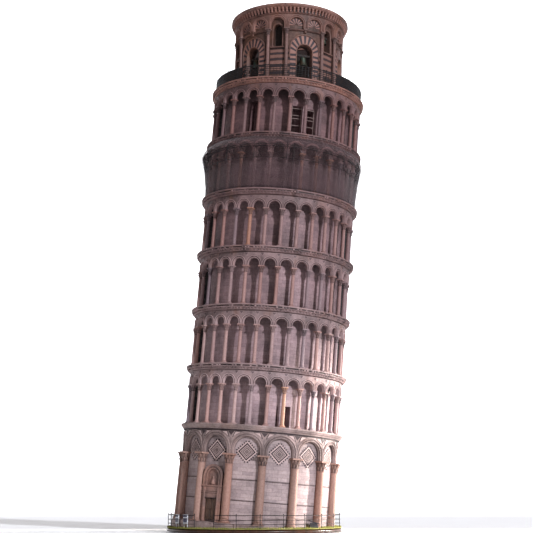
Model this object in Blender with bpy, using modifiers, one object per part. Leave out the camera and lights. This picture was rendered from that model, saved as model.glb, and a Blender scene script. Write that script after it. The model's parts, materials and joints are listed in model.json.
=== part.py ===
"""Miniature leaning bell tower: a scale model of a round arcaded campanile, as the pieces it is assembled from.

Every dimension below is in metres of the full-size building. SCALE turns it into metres of the model,
which stands +Z up, with its origin at the centre of the base plate's underside, and leans towards +X.
Angles round the tower are measured from the front (-Y), turning towards +X.
"""

import math

import bmesh
import bpy
from mathutils import Matrix, Vector

# ---- driving dimensions ----
SCALE = 1 / 160
GAP = 0.05  # 0.3 mm on the model, left wherever two pieces touch
LEAN = math.radians(4.5)  # the shaft's lean
BELFRY_LEAN = math.radians(1.7)  # the belfry was built closer to plumb
FIRST_COLUMN = math.radians(2.8)

PLATE_RADIUS, PLATE_HEIGHT = 9.1, 0.4
LAWN_RADIUS, GROUND = 9.05, 0.5  # GROUND is the height of the lawn

BAYS, GROUND_BAYS = 30, 15
STOREY = 6.05
FIRST_FLOOR = 9.95  # height of the first gallery's floor above the ground, along the axis
SLAB = 0.6
GALLERIES = 6
CORNICE_RADIUS, TERRACE_RADIUS = 8.5, 8.4
WELL_RADIUS = 2.6
BELOW_GROUND = 1.0  # how far the pieces of the foot run on before the ground cuts them

GROUND_WALL_RADIUS = 7.75
GROUND_BAND_RADIUS = 8.3
GROUND_COLUMN_RADIUS, GROUND_COLUMN_AT = 0.45, 8.07
GROUND_SPRINGING, GROUND_ARCH_CENTRE, GROUND_ARCH_RADIUS = 6.91, 7.35, 1.22
PLINTH_RADIUS, PLINTH_TOP = 8.58, 0.3

GALLERY_WALL_RADIUS = 6.95
COLUMN_WIDTH, COLUMN_AT = 0.3, 7.93
ARCADE_OUTER, ARCADE_INNER = 8.12, 7.74
ARCH_SPRINGING, ARCH_RADIUS = 4.1, 0.6
GALLERY_DOORS = (19.6, 135, 165, 195, 225, 12)  # degrees from the front, one for each gallery
GALLERY_DOOR_WIDTH, GALLERY_DOOR_HEIGHT, GALLERY_DOOR_DEPTH = 0.75, 2.1, 1.2

DOOR_BAY = FIRST_COLUMN - math.radians(36)
PORTAL_HALF_WIDTH, PORTAL_BACK, PORTAL_FACE = 1.15, 7.8, 8.2
PORTAL_ARCH_CENTRE, LUNETTE_BOTTOM, LUNETTE_CENTRE, LUNETTE_RADIUS = 4.76, 3.99, 4.65, 0.55
DOOR_HALF_WIDTH, DOOR_SILL, DOOR_HEAD = 0.7, 0.5, 2.58
LEAF_THICKNESS, LEAF_AT = 0.12, 7.94
LEAF_PIVOT = DOOR_HALF_WIDTH - GAP - LEAF_THICKNESS / 2  # the hinges' distance from the doorway's middle
DOOR_PIN_RADIUS, DOOR_PIN_LENGTH = 0.04, 0.14

FENCE_RADIUS, FENCE_HEIGHT, FENCE_POSTS = 8.93, 1.35, 24
RAIL_RADIUS, POST_WIDTH = 0.04, 0.13
RAILING_RADIUS, RAILING_HEIGHT = 8.05, 1.4
RAILING_FIRST_POST, RAILING_POSTS = math.radians(5), 24

NET_THICKNESS = 0.08
SCAFFOLD_STANDARDS, SCAFFOLD_RADIUS = 15, 8.34

SMALL_BAY = math.radians(-13.5)  # the belfry's small windows, every 60 degrees from here
LARGE_BAY = SMALL_BAY + math.radians(30)
SIXTH = math.radians(60)
BELFRY_FOOT = 0.4
BELFRY_WALL_OUTER, BELFRY_WALL_INNER, BELFRY_WALL_TOP = 5.6, 4.7, 7.95
LARGE_ARCH_HALF_WIDTH, LARGE_ARCH_CENTRE = 0.84, 3.81
WINDOW_HALF_WIDTH, WINDOW_SILL, WINDOW_CENTRE = 0.5, 4.4, 6.45
BELFRY_ARCHES = 18
BELFRY_BAND_OUTER, BELFRY_BAND_INNER, BELFRY_BAND_BOTTOM = 6.08, 5.75, 6.3
BELFRY_ARCH_CENTRE, BELFRY_ARCH_RADIUS = 6.75, 0.72
BELFRY_COLUMN_RADIUS, BELFRY_COLUMN_AT = 0.19, 5.87
BELFRY_TOP, BELFRY_CORNICE_RADIUS = 8.98, 6.52

BELL_AT = 5.15  # distance of the headstocks from the belfry's axis
LARGE_BELL_RADII = (0.62, 0.58, 0.6, 0.54, 0.5, 0.56)
LARGE_HEADSTOCK, SMALL_HEADSTOCK = 3.6, 6.25
SMALL_BELL_RADIUS = 0.33
SMALL_BELL_BAY = SMALL_BAY + SIXTH
HEADSTOCK_WIDTH, HEADSTOCK_DEPTH = 0.2, 0.24
TRUNNION_RADIUS, TRUNNION_REACH = 0.06, 0.2

MARBLE = (0.36, 0.30, 0.28, 1)
WARM_MARBLE = (0.33, 0.21, 0.17, 1)
DARK_IRON = (0.02, 0.018, 0.02, 1)
BRONZE = (0.12, 0.13, 0.09, 1)
WOOD = (0.11, 0.06, 0.035, 1)
GRASS = (0.17, 0.22, 0.06, 1)
NETTING = (0.12, 0.10, 0.10, 1)
BOARD = (0.62, 0.62, 0.66, 1)


# ---- scene, frames and materials ----
def clear_scene():
    for thing in list(bpy.data.objects):
        bpy.data.objects.remove(thing)


def new_collection(name):
    made = bpy.data.collections.new(name)
    bpy.context.scene.collection.children.link(made)
    return made


def material(name, colour, roughness, metallic=0.0):
    made = bpy.data.materials.new(name)
    made.use_nodes = True
    shader = made.node_tree.nodes["Principled BSDF"]
    shader.inputs["Base Color"].default_value = colour
    shader.inputs["Roughness"].default_value = roughness
    shader.inputs["Metallic"].default_value = metallic
    return made


def frame(name, parent=None, at=(0, 0, 0), turn=(0, 0, 0)):
    """An empty that pieces hang from. `at` is in building metres, `turn` in radians."""
    empty = bpy.data.objects.new(name, None)
    PARTS.objects.link(empty)
    empty.parent = parent
    empty.location = Vector(at) * SCALE
    empty.rotation_euler = turn
    return empty


def round_the_tower(angle, radius, height=0.0):
    return (radius * math.sin(angle), -radius * math.cos(angle), height)


# ---- shapes, all given in building metres ----
def mesh_object(name, mesh, collection=None):
    made = bpy.data.objects.new(name, mesh)
    (collection or PARTS).objects.link(made)
    return made


def from_bmesh(name, shape, collection=None):
    mesh = bpy.data.meshes.new(name)
    shape.to_mesh(mesh)
    shape.free()
    return mesh_object(name, mesh, collection)


def baked(made):
    """The object with its modifiers, or its curve, turned into a plain welded mesh with its place applied."""
    bpy.context.view_layer.update()
    graph = bpy.context.evaluated_depsgraph_get()
    mesh = bpy.data.meshes.new_from_object(made.evaluated_get(graph))
    mesh.transform(made.matrix_world)
    shape = bmesh.new()
    shape.from_mesh(mesh)
    bmesh.ops.remove_doubles(shape, verts=shape.verts, dist=1e-7)
    shape.to_mesh(mesh)
    shape.free()
    name, home = made.name, made.users_collection[0]
    bpy.data.objects.remove(made)
    return mesh_object(name, mesh, home)


def turned(name, profile, steps, collection=None):
    """A profile of (radius, height) points turned about Z, down its outer side and up its inner side."""
    mesh = bpy.data.meshes.new(name)
    points = [(0, -radius * SCALE, height * SCALE) for radius, height in profile]
    closed = profile[0][0] > 0
    edges = [(i, i + 1) for i in range(len(points) - 1)]
    if closed:
        edges.append((len(points) - 1, 0))
    mesh.from_pydata(points, edges, [])
    made = mesh_object(name, mesh, collection)
    screw = made.modifiers.new("turn", "SCREW")
    screw.axis = "Z"
    screw.steps = screw.render_steps = steps
    screw.use_merge_vertices = True
    screw.merge_threshold = 1e-6
    return baked(made)


def ring(name, outer, inner, bottom, top, steps, collection=None):
    return turned(name, [(outer, top), (outer, bottom), (inner, bottom), (inner, top)], steps, collection)


def add_box(shape, size, centre, turn=0.0):
    """Adds a box to the bmesh, turned about the tower's axis after it is placed."""
    matrix = (
        Matrix.Rotation(turn, 4, "Z")
        @ Matrix.Translation(Vector(centre) * SCALE)
        @ Matrix.Diagonal((*(Vector(size) * SCALE), 1))
    )
    bmesh.ops.create_cube(shape, size=1, matrix=matrix)


def add_prism(shape, sides, radius, bottom, top, at=(0, 0), turn=0.0):
    """Adds an upright many-sided prism to the bmesh, turned about the tower's axis after it is placed."""
    centre = Vector((*at, (bottom + top) / 2)) * SCALE
    matrix = Matrix.Rotation(turn, 4, "Z") @ Matrix.Translation(centre)
    bmesh.ops.create_cone(
        shape,
        cap_ends=True,
        segments=sides,
        radius1=radius * SCALE,
        radius2=radius * SCALE,
        depth=(top - bottom) * SCALE,
        matrix=matrix,
    )


def arch_outline(half_width, bottom, springing, steps):
    """Points of a round-headed opening: up the left side, over the arch and down the right side."""
    head = [
        (-half_width * math.cos(math.pi * i / steps), springing + half_width * math.sin(math.pi * i / steps))
        for i in range(steps + 1)
    ]
    return [(-half_width, bottom), *head, (half_width, bottom)]


def upright_panel(name, outlines, near, far, collection=None):
    """A flat piece facing the front, `near` to `far` from the axis. Its outlines are (across, up) points."""
    curve = bpy.data.curves.new(name, "CURVE")
    curve.dimensions = "2D"
    curve.fill_mode = "BOTH"
    curve.extrude = (far - near) / 2 * SCALE
    for outline in outlines:
        spline = curve.splines.new("POLY")
        spline.points.add(len(outline) - 1)
        for point, (across, up) in zip(spline.points, outline):
            point.co = (across * SCALE, up * SCALE, 0, 1)
        spline.use_cyclic_u = True
    made = mesh_object(name, curve, collection)
    made.rotation_euler = (math.pi / 2, 0, 0)
    made.location = (0, -(near + far) / 2 * SCALE, 0)
    return baked(made)


def repeated(name, source, angles, collection=None):
    """One mesh holding a copy of `source` at each angle round the tower. The source is removed."""
    shape = bmesh.new()
    for angle in angles:
        start = len(shape.verts)
        shape.from_mesh(source.data)
        shape.verts.ensure_lookup_table()
        bmesh.ops.transform(shape, matrix=Matrix.Rotation(angle, 4, "Z"), verts=shape.verts[start:])
    bpy.data.objects.remove(source)
    return from_bmesh(name, shape, collection)


def combined(made, operation, other, overlapping=False):
    """The object after a Boolean with `other`, which is removed. Bodies that overlap in either need the flag."""
    step = made.modifiers.new(operation.lower(), "BOOLEAN")
    step.operation = operation
    step.solver = "EXACT"
    step.use_self = overlapping
    step.object = other
    done = baked(made)
    bpy.data.objects.remove(other)
    return done


def cut_at_ground(made):
    """Cuts a leaning piece of the foot level with the lawn."""
    shape = bmesh.new()
    add_box(shape, (30, 30, 4), (0, 0, -2 + GAP))
    ground = from_bmesh("ground_cutter", shape, CUTTERS)
    ground.rotation_euler = (0, -LEAN, 0)
    return combined(made, "DIFFERENCE", ground)


def bays(count, first=0.0):
    return [first + i * 2 * math.pi / count for i in range(count)]


def dress(made, finish, parent=None, at=(0, 0, 0), turn=(0, 0, 0)):
    """Gives a piece its material and hangs it in its frame."""
    made.data.materials.clear()
    made.data.materials.append(finish)
    made.data.shade_smooth()
    made.data.set_sharp_from_angle(angle=math.radians(35))
    made.parent = parent
    made.location = Vector(at) * SCALE
    made.rotation_euler = turn
    return made


def floor_height(number):
    """Height along the shaft's axis of gallery floor 1 to 7. The seventh is the terrace."""
    return FIRST_FLOOR + STOREY * (number - 1)


# ---- the base and what stands on it ----
def base_plate():
    profile = [
        (0, PLATE_HEIGHT),
        (PLATE_RADIUS - 0.1, PLATE_HEIGHT),
        (PLATE_RADIUS, PLATE_HEIGHT - 0.1),
        (PLATE_RADIUS, 0),
        (0, 0),
    ]
    dress(turned("base_plate", profile, 48), WOOD_FINISH)


def lawn_mat():
    profile = [(0, GROUND), (LAWN_RADIUS, GROUND), (LAWN_RADIUS, PLATE_HEIGHT + GAP), (0, PLATE_HEIGHT + GAP)]
    dress(turned("lawn_mat", profile, 48), GRASS_FINISH)


def rail(name, radius, angles, height, closed):
    """A bent rail of square section through the angles given."""
    curve = bpy.data.curves.new(name, "CURVE")
    curve.dimensions = "3D"
    curve.bevel_depth = RAIL_RADIUS * SCALE
    curve.bevel_resolution = 0
    curve.use_fill_caps = not closed
    spline = curve.splines.new("POLY")
    spline.points.add(len(angles) - 1)
    for point, angle in zip(spline.points, angles):
        point.co = (*(Vector(round_the_tower(angle, radius, height)) * SCALE), 1)
    spline.use_cyclic_u = closed
    return baked(mesh_object(name, curve))


def posts(name, radius, angles, bottom, top):
    shape = bmesh.new()
    for angle in angles:
        size = (POST_WIDTH * 0.8, POST_WIDTH * 0.8, top - bottom)
        add_box(shape, size, (0, -radius, (bottom + top) / 2), angle)
    return from_bmesh(name, shape, CUTTERS)


def perimeter_fence():
    """Posts and a rail round the lawn, left open in front of the door."""
    half_step = math.pi / FENCE_POSTS
    angles = [DOOR_BAY + half_step * (2 * i + 1) for i in range(FENCE_POSTS)]
    top = GROUND + FENCE_HEIGHT
    fence = rail("perimeter_fence", FENCE_RADIUS, angles, top - 0.1, closed=False)
    uprights = posts("fence_posts", FENCE_RADIUS, angles, GROUND + GAP, top)
    dress(combined(fence, "UNION", uprights), IRON_FINISH)


def info_board(name, angle):
    """A notice board on two legs, which carries no lettering."""
    shape = bmesh.new()
    add_box(shape, (0.75, 0.12, 0.95), (0, 0, 0.85))
    board = from_bmesh(name, shape)
    legs = bmesh.new()
    for side in (-0.28, 0.28):
        add_box(legs, (0.09, 0.09, 0.5), (side, 0, 0.25 + GAP))
    board = combined(board, "UNION", from_bmesh("board_legs", legs, CUTTERS))
    dress(board, BOARD_FINISH, None, round_the_tower(angle, 8.72, GROUND), (0, 0, angle))


def lectern():
    """A low stand with a sloping top, seen from its side as a wedge."""
    outline = [(-0.5, GAP), (0.5, GAP), (0.62, 0.35), (0.55, 0.42), (-0.6, 0.75), (-0.5, 0.6)]
    stand = upright_panel("lectern", [outline], -0.2, 0.2)
    at = round_the_tower(math.radians(43), 8.66, GROUND)
    dress(stand, IRON_FINISH, None, at, (0, 0, math.radians(17.2)))


# ---- the shaft ----
def plinth(tower):
    """The round step under the columns. The ground swallows it on the side the tower leans to."""
    profile = [
        (PLINTH_RADIUS, PLINTH_TOP),
        (PLINTH_RADIUS, -BELOW_GROUND),
        (GROUND_WALL_RADIUS + GAP, -BELOW_GROUND),
        (GROUND_WALL_RADIUS + GAP, PLINTH_TOP),
    ]
    step = cut_at_ground(turned("plinth", profile, BAYS))
    dress(step, MARBLE_FINISH, tower)


def doorway_cutter(half_width, bottom, top, near, far, angle):
    shape = bmesh.new()
    size = (2 * half_width, far - near, top - bottom)
    add_box(shape, size, (0, -(near + far) / 2, (bottom + top) / 2), angle)
    return from_bmesh("doorway_cutter", shape, CUTTERS)


def ground_wall(tower):
    top = FIRST_FLOOR - SLAB - GAP
    wall = ring("ground_wall", GROUND_WALL_RADIUS, WELL_RADIUS, -BELOW_GROUND, top, BAYS)
    wall = cut_at_ground(wall)
    opening = doorway_cutter(DOOR_HALF_WIDTH + GAP, DOOR_SILL, DOOR_HEAD + GAP, 2, 9, DOOR_BAY)
    dress(combined(wall, "DIFFERENCE", opening), MARBLE_FINISH, tower)


def ground_arcade(tower):
    """Fifteen engaged columns and the blind arches that they carry, as one ring round the wall."""
    top = FIRST_FLOOR - SLAB - GAP
    band = ring("ground_arcade", GROUND_BAND_RADIUS, GROUND_WALL_RADIUS - 0.5, GROUND_SPRINGING, top, BAYS)
    outline = arch_outline(GROUND_ARCH_RADIUS, GROUND_SPRINGING - 1, GROUND_ARCH_CENTRE, 5)
    opening = upright_panel("ground_arch", [outline], 6.5, 9, CUTTERS)
    openings = repeated("ground_arches", opening, bays(GROUND_BAYS, math.pi / GROUND_BAYS), CUTTERS)
    band = combined(band, "DIFFERENCE", openings)
    shape = bmesh.new()
    for angle in bays(GROUND_BAYS):
        at = (0, -GROUND_COLUMN_AT)
        add_prism(shape, 6, GROUND_COLUMN_RADIUS, PLINTH_TOP + GAP, GROUND_SPRINGING + 0.15, at, angle)
    arcade = combined(band, "UNION", from_bmesh("ground_columns", shape, CUTTERS))
    core = ring("ground_core", GROUND_WALL_RADIUS + GAP, 0.5, -2, FIRST_FLOOR + 1, BAYS, CUTTERS)
    arcade = combined(arcade, "DIFFERENCE", core)
    arcade.data.transform(Matrix.Rotation(FIRST_COLUMN, 4, "Z"))
    dress(cut_at_ground(arcade), WARM_FINISH, tower)


def portal_surround(tower):
    """The door's frame, with a lintel and a round hood over a shallow niche."""
    outside = arch_outline(PORTAL_HALF_WIDTH, PLINTH_TOP + GAP, PORTAL_ARCH_CENTRE, 10)
    doorway = [
        (-DOOR_HALF_WIDTH, DOOR_SILL),
        (-DOOR_HALF_WIDTH, DOOR_HEAD),
        (DOOR_HALF_WIDTH, DOOR_HEAD),
        (DOOR_HALF_WIDTH, DOOR_SILL),
    ]
    surround = upright_panel("portal_surround", [outside, doorway], PORTAL_BACK, PORTAL_FACE)
    niche = arch_outline(LUNETTE_RADIUS, LUNETTE_BOTTOM, LUNETTE_CENTRE, 8)
    surround = combined(
        surround, "DIFFERENCE", upright_panel("niche", [niche], PORTAL_FACE - 0.2, PORTAL_FACE + 0.2, CUTTERS)
    )
    shape = bmesh.new()
    socket = DOOR_PIN_RADIUS + GAP
    for side in (-1, 1):
        at = (side * LEAF_PIVOT, -LEAF_AT)
        add_prism(shape, 8, socket, DOOR_HEAD - 0.1, DOOR_HEAD + DOOR_PIN_LENGTH + GAP, at)
        add_prism(shape, 8, socket, DOOR_SILL - DOOR_PIN_LENGTH + 0.03, DOOR_SILL + 0.1, at)
    surround = combined(surround, "DIFFERENCE", from_bmesh("sockets", shape, CUTTERS))
    dress(surround, WARM_FINISH, tower, turn=(0, 0, DOOR_BAY))


def door_leaf(name, tower, side):
    """One leaf. Its origin is on its pivot axis, and a pin at the head and one at the foot carry it."""
    shape = bmesh.new()
    bottom, top = DOOR_SILL + GAP, DOOR_HEAD - GAP
    width = LEAF_PIVOT - GAP / 2
    add_box(shape, (width, LEAF_THICKNESS, top - bottom), (-side * width / 2, 0, (bottom + top) / 2))
    leaf = from_bmesh(name, shape)
    pins = bmesh.new()
    add_prism(pins, 8, LEAF_THICKNESS / 2, bottom, top)
    leaf = combined(leaf, "UNION", from_bmesh("heel", pins, CUTTERS))
    pins = bmesh.new()
    add_prism(pins, 8, DOOR_PIN_RADIUS, top - 0.1, DOOR_HEAD + DOOR_PIN_LENGTH)
    add_prism(pins, 8, DOOR_PIN_RADIUS, DOOR_SILL - DOOR_PIN_LENGTH + 0.08, bottom + 0.1)
    leaf = combined(leaf, "UNION", from_bmesh("pins", pins, CUTTERS))
    bay = frame("bay_of_" + name, tower, turn=(0, 0, DOOR_BAY))
    dress(leaf, WOOD_FINISH, bay, (side * LEAF_PIVOT, -LEAF_AT, 0))


def cornice(tower, number):
    """A gallery's floor slab, whose edge is the cornice over the storey below."""
    edge = TERRACE_RADIUS if number > GALLERIES else CORNICE_RADIUS
    profile = [
        (edge, 0),
        (edge - 0.4, -SLAB),
        (WELL_RADIUS, -SLAB),
        (WELL_RADIUS, 0),
    ]
    name = "terrace_slab" if number > GALLERIES else f"cornice_{number}"
    slab = turned(name, profile, BAYS)
    dress(slab, WARM_FINISH, tower, (0, 0, floor_height(number)), (0, 0, FIRST_COLUMN))


def gallery_wall(tower, number):
    """The drum behind a gallery's columns, with the niche of its stair door."""
    height = STOREY - SLAB - GAP
    wall = ring(f"gallery_wall_{number}", GALLERY_WALL_RADIUS, WELL_RADIUS, GAP, height, 24)
    near = GALLERY_WALL_RADIUS - GALLERY_DOOR_DEPTH
    angle = math.radians(GALLERY_DOORS[number - 1])
    niche = doorway_cutter(GALLERY_DOOR_WIDTH / 2, 0.2, 0.2 + GALLERY_DOOR_HEIGHT, near, near + 3, angle)
    dress(combined(wall, "DIFFERENCE", niche), MARBLE_FINISH, tower, (0, 0, floor_height(number)))


def colonnade_mesh():
    """Thirty columns and the arches over them, as one ring that stands on a gallery's floor."""
    band = ring("colonnade", ARCADE_OUTER, ARCADE_INNER, ARCH_SPRINGING, STOREY - SLAB - GAP, BAYS)
    outline = arch_outline(ARCH_RADIUS, ARCH_SPRINGING - 0.5, ARCH_SPRINGING, 3)
    opening = upright_panel("arch", [outline], 7.2, 8.6, CUTTERS)
    openings = repeated("arches", opening, bays(BAYS, math.pi / BAYS), CUTTERS)
    band = combined(band, "DIFFERENCE", openings)
    shape = bmesh.new()
    top = ARCH_SPRINGING + 0.1
    for angle in bays(BAYS):
        size = (COLUMN_WIDTH, COLUMN_WIDTH, top - GAP)
        add_box(shape, size, (0, -COLUMN_AT, (top + GAP) / 2), angle)
    columns = from_bmesh("columns", shape, CUTTERS)
    whole = combined(band, "UNION", columns)
    mesh = whole.data
    bpy.data.objects.remove(whole)
    return mesh


def galleries(tower):
    shared = colonnade_mesh()
    for number in range(1, GALLERIES + 1):
        gallery_wall(tower, number)
        columns = mesh_object(f"colonnade_{number}", shared)
        dress(columns, MARBLE_FINISH, tower, (0, 0, floor_height(number)), (0, 0, FIRST_COLUMN))
    for number in range(1, GALLERIES + 2):
        cornice(tower, number)


# ---- the scaffold and its net, round the fifth gallery ----
def scaffold_net(tower):
    """The net spreads from the floor to the scaffold's ring, and draws in under the cornice above."""
    outer = [(8.32, 5.55), (8.6, 5.2), (8.68, 4.5), (8.26, 0.12)]
    inner = [(radius - NET_THICKNESS, height) for radius, height in reversed(outer)]
    sleeve = turned("scaffold_net", outer + inner, BAYS)
    dress(sleeve, NET_FINISH, tower, (0, 0, floor_height(5)), (0, 0, FIRST_COLUMN))


def scaffold_frame(tower):
    """A ring round the arches on short uprights, each with a foot that reaches in to the arcade's face."""
    outer, inner = SCAFFOLD_RADIUS + 0.06, SCAFFOLD_RADIUS - 0.06
    ledger = ring("scaffold_frame", outer, inner, 4.64, 4.76, BAYS)
    shape = bmesh.new()
    for angle in bays(SCAFFOLD_STANDARDS):
        add_box(shape, (0.09, 0.09, 2.1), (0, -SCAFFOLD_RADIUS, 4.15), angle)
    frame_work = combined(ledger, "UNION", from_bmesh("standards", shape, CUTTERS))
    feet = bmesh.new()
    reach = SCAFFOLD_RADIUS - ARCADE_OUTER - GAP
    for angle in bays(SCAFFOLD_STANDARDS):
        add_box(feet, (0.07, reach, 0.09), (0, reach / 2 - SCAFFOLD_RADIUS, 4.3), angle)
    frame_work = combined(frame_work, "UNION", from_bmesh("feet", feet, CUTTERS))
    dress(frame_work, IRON_FINISH, tower, (0, 0, floor_height(5)), (0, 0, FIRST_COLUMN))


# ---- the terrace and the belfry ----
def terrace_railing(tower):
    angles = bays(RAILING_POSTS)
    outer, inner = RAILING_RADIUS + POST_WIDTH / 2, RAILING_RADIUS - POST_WIDTH / 2
    railing = ring("terrace_railing", outer, inner, RAILING_HEIGHT - POST_WIDTH, RAILING_HEIGHT, RAILING_POSTS)
    uprights = posts("railing_posts", RAILING_RADIUS, angles, GAP, RAILING_HEIGHT - POST_WIDTH / 2)
    railing = combined(railing, "UNION", uprights)
    dress(railing, IRON_FINISH, tower, (0, 0, floor_height(7)), (0, 0, RAILING_FIRST_POST))


def belfry_plinth(tower):
    """A wedge-shaped ring that brings the belfry back towards plumb."""
    wedge = ring("belfry_plinth", 6.35, 4.6, GAP, 1.2, 24)
    shape = bmesh.new()
    add_box(shape, (20, 20, 4), (0, 0, 2 + BELFRY_FOOT - GAP))
    above = from_bmesh("above_plinth", shape, CUTTERS)
    above.rotation_euler = (0, BELFRY_LEAN - LEAN, 0)
    dress(combined(wedge, "DIFFERENCE", above), WARM_FINISH, tower, (0, 0, floor_height(7)))


def belfry_wall(belfry):
    """The bell chamber's drum, with six tall arches, six small windows and the bearings of the bells."""
    wall = ring("belfry_wall", BELFRY_WALL_OUTER, BELFRY_WALL_INNER, BELFRY_FOOT, BELFRY_WALL_TOP, 24)
    outline = arch_outline(LARGE_ARCH_HALF_WIDTH, BELFRY_FOOT + 0.15, LARGE_ARCH_CENTRE, 4)
    arch = upright_panel("large_arch", [outline], 4, 6.5, CUTTERS)
    arches = repeated("large_arches", arch, bays(6, LARGE_BAY), CUTTERS)
    wall = combined(wall, "DIFFERENCE", arches)
    outline = arch_outline(WINDOW_HALF_WIDTH, WINDOW_SILL, WINDOW_CENTRE, 4)
    window = upright_panel("window", [outline], 4, 6.5, CUTTERS)
    windows = repeated("windows", window, bays(6, SMALL_BAY), CUTTERS)
    wall = combined(wall, "DIFFERENCE", windows)
    bearings = bmesh.new()
    places = [(angle, LARGE_HEADSTOCK, LARGE_ARCH_HALF_WIDTH) for angle in bays(6, LARGE_BAY)]
    places.append((SMALL_BELL_BAY, SMALL_HEADSTOCK, WINDOW_HALF_WIDTH))
    for angle, height, half_width in places:
        matrix = (
            Matrix.Rotation(angle, 4, "Z")
            @ Matrix.Translation(Vector((0, -BELL_AT, height)) * SCALE)
            @ Matrix.Rotation(math.pi / 2, 4, "Y")
        )
        bmesh.ops.create_cone(
            bearings,
            cap_ends=True,
            segments=6,
            radius1=(TRUNNION_RADIUS + GAP) * SCALE,
            radius2=(TRUNNION_RADIUS + GAP) * SCALE,
            depth=2 * (half_width + TRUNNION_REACH + GAP) * SCALE,
            matrix=matrix,
        )
    wall = combined(wall, "DIFFERENCE", from_bmesh("bearings", bearings, CUTTERS))
    dress(wall, WARM_FINISH, belfry)


def belfry_arcade(belfry):
    """Twelve slim columns and the band of eighteen arches that runs round the belfry."""
    first = SMALL_BAY - math.radians(10)
    outer, inner = BELFRY_BAND_OUTER, BELFRY_BAND_INNER
    band = ring("belfry_arcade", outer, inner, BELFRY_BAND_BOTTOM, BELFRY_WALL_TOP, BELFRY_ARCHES)
    outline = arch_outline(BELFRY_ARCH_RADIUS, BELFRY_BAND_BOTTOM - 1, BELFRY_ARCH_CENTRE, 4)
    opening = upright_panel("belfry_arch", [outline], 5, 7, CUTTERS)
    openings = repeated("belfry_arches", opening, bays(BELFRY_ARCHES, math.radians(10)), CUTTERS)
    band = combined(band, "DIFFERENCE", openings)
    shape = bmesh.new()
    for angle in bays(6):
        for turn in (angle, angle + math.radians(20)):
            at = (0, -BELFRY_COLUMN_AT)
            add_prism(shape, 6, BELFRY_COLUMN_RADIUS, BELFRY_FOOT, BELFRY_BAND_BOTTOM + 0.1, at, turn)
    arcade = combined(band, "UNION", from_bmesh("belfry_columns", shape, CUTTERS))
    dress(arcade, WARM_FINISH, belfry, turn=(0, 0, first))


def belfry_cornice(belfry):
    profile = [
        (BELFRY_CORNICE_RADIUS, BELFRY_TOP),
        (BELFRY_CORNICE_RADIUS, BELFRY_TOP - 0.28),
        (BELFRY_BAND_OUTER, BELFRY_WALL_TOP + GAP),
        (BELFRY_WALL_INNER, BELFRY_WALL_TOP + GAP),
        (BELFRY_WALL_INNER, BELFRY_TOP),
    ]
    dress(turned("belfry_cornice", profile, 24), WARM_FINISH, belfry)


# ---- the bells ----
def bell_profile(radius):
    """A bell's section from its crown down to its lip and back up inside, with the crown at height 0."""
    tall = 1.75 * radius
    return [
        (0, 0),
        (0.42 * radius, 0),
        (0.55 * radius, -0.12 * tall),
        (0.62 * radius, -0.55 * tall),
        (0.78 * radius, -0.82 * tall),
        (radius, -tall),
        (0.88 * radius, -tall),
        (0.5 * radius, -0.62 * tall),
        (0.42 * radius, -0.2 * tall),
        (0, -0.17 * tall),
    ]


def bell_set(name, belfry, angle, height, half_width, radius):
    """A bell, the headstock it hangs from and its clapper. Their frame's X runs along the trunnions."""
    bay = frame("bay_of_" + name, belfry, turn=(0, 0, angle))
    # The chamber leans a little, so the bell turns on its trunnions until it hangs plumb across them.
    plumb = math.atan(math.tan(BELFRY_LEAN) * math.sin(angle))
    pivot = frame("pivot_of_" + name, bay, (0, -BELL_AT, height), (plumb, 0, 0))
    crown = -HEADSTOCK_DEPTH / 2 - GAP
    bell = turned(name, bell_profile(radius), 8)
    dress(bell, BRONZE_FINISH, pivot, (0, 0, crown))
    beam = bmesh.new()
    length = 2 * (half_width - GAP)
    add_box(beam, (length, HEADSTOCK_WIDTH, HEADSTOCK_DEPTH), (0, 0, 0))
    headstock = from_bmesh(name + "_headstock", beam)
    trunnions = bmesh.new()
    bmesh.ops.create_cone(
        trunnions,
        cap_ends=True,
        segments=6,
        radius1=TRUNNION_RADIUS * SCALE,
        radius2=TRUNNION_RADIUS * SCALE,
        depth=2 * (half_width + TRUNNION_REACH) * SCALE,
        matrix=Matrix.Rotation(math.pi / 2, 4, "Y"),
    )
    headstock = combined(headstock, "UNION", from_bmesh("trunnions", trunnions, CUTTERS))
    dress(headstock, WOOD_FINISH, pivot)
    tall = 1.75 * radius
    rod, bulb, foot = 0.09 * radius, 0.2 * radius, 0.78 * tall
    stem, swell = 0.45 * radius - foot, 0.2 * radius - foot
    profile = [(0, 0), (rod, 0), (rod, stem), (bulb, swell), (bulb, -foot), (0, -foot)]
    clapper = turned(name + "_clapper", profile, 6)
    dress(clapper, IRON_FINISH, pivot, (0, 0, crown - 0.17 * tall - GAP))


def bells(belfry):
    for i, (angle, radius) in enumerate(zip(bays(6, LARGE_BAY), LARGE_BELL_RADII)):
        bell_set(f"bell_{i + 1}", belfry, angle, LARGE_HEADSTOCK, LARGE_ARCH_HALF_WIDTH, radius)
    bell_set("bell_7", belfry, SMALL_BELL_BAY, SMALL_HEADSTOCK, WINDOW_HALF_WIDTH, SMALL_BELL_RADIUS)


clear_scene()
PARTS = new_collection("leaning_tower_model")
CUTTERS = new_collection("cutters")
CUTTERS.hide_render = True
MARBLE_FINISH = material("marble", MARBLE, 0.7)
WARM_FINISH = material("warm_marble", WARM_MARBLE, 0.72)
IRON_FINISH = material("iron", DARK_IRON, 0.5, 0.6)
BRONZE_FINISH = material("bronze", BRONZE, 0.45, 0.8)
WOOD_FINISH = material("wood", WOOD, 0.6)
GRASS_FINISH = material("grass", GRASS, 0.95)
NET_FINISH = material("netting", NETTING, 0.9)
BOARD_FINISH = material("board", BOARD, 0.5)

TOWER = frame("tower_axis", at=(0, 0, GROUND), turn=(0, LEAN, 0))
BELFRY = frame("belfry_axis", TOWER, (0, 0, floor_height(7)), (0, BELFRY_LEAN - LEAN, 0))

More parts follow.
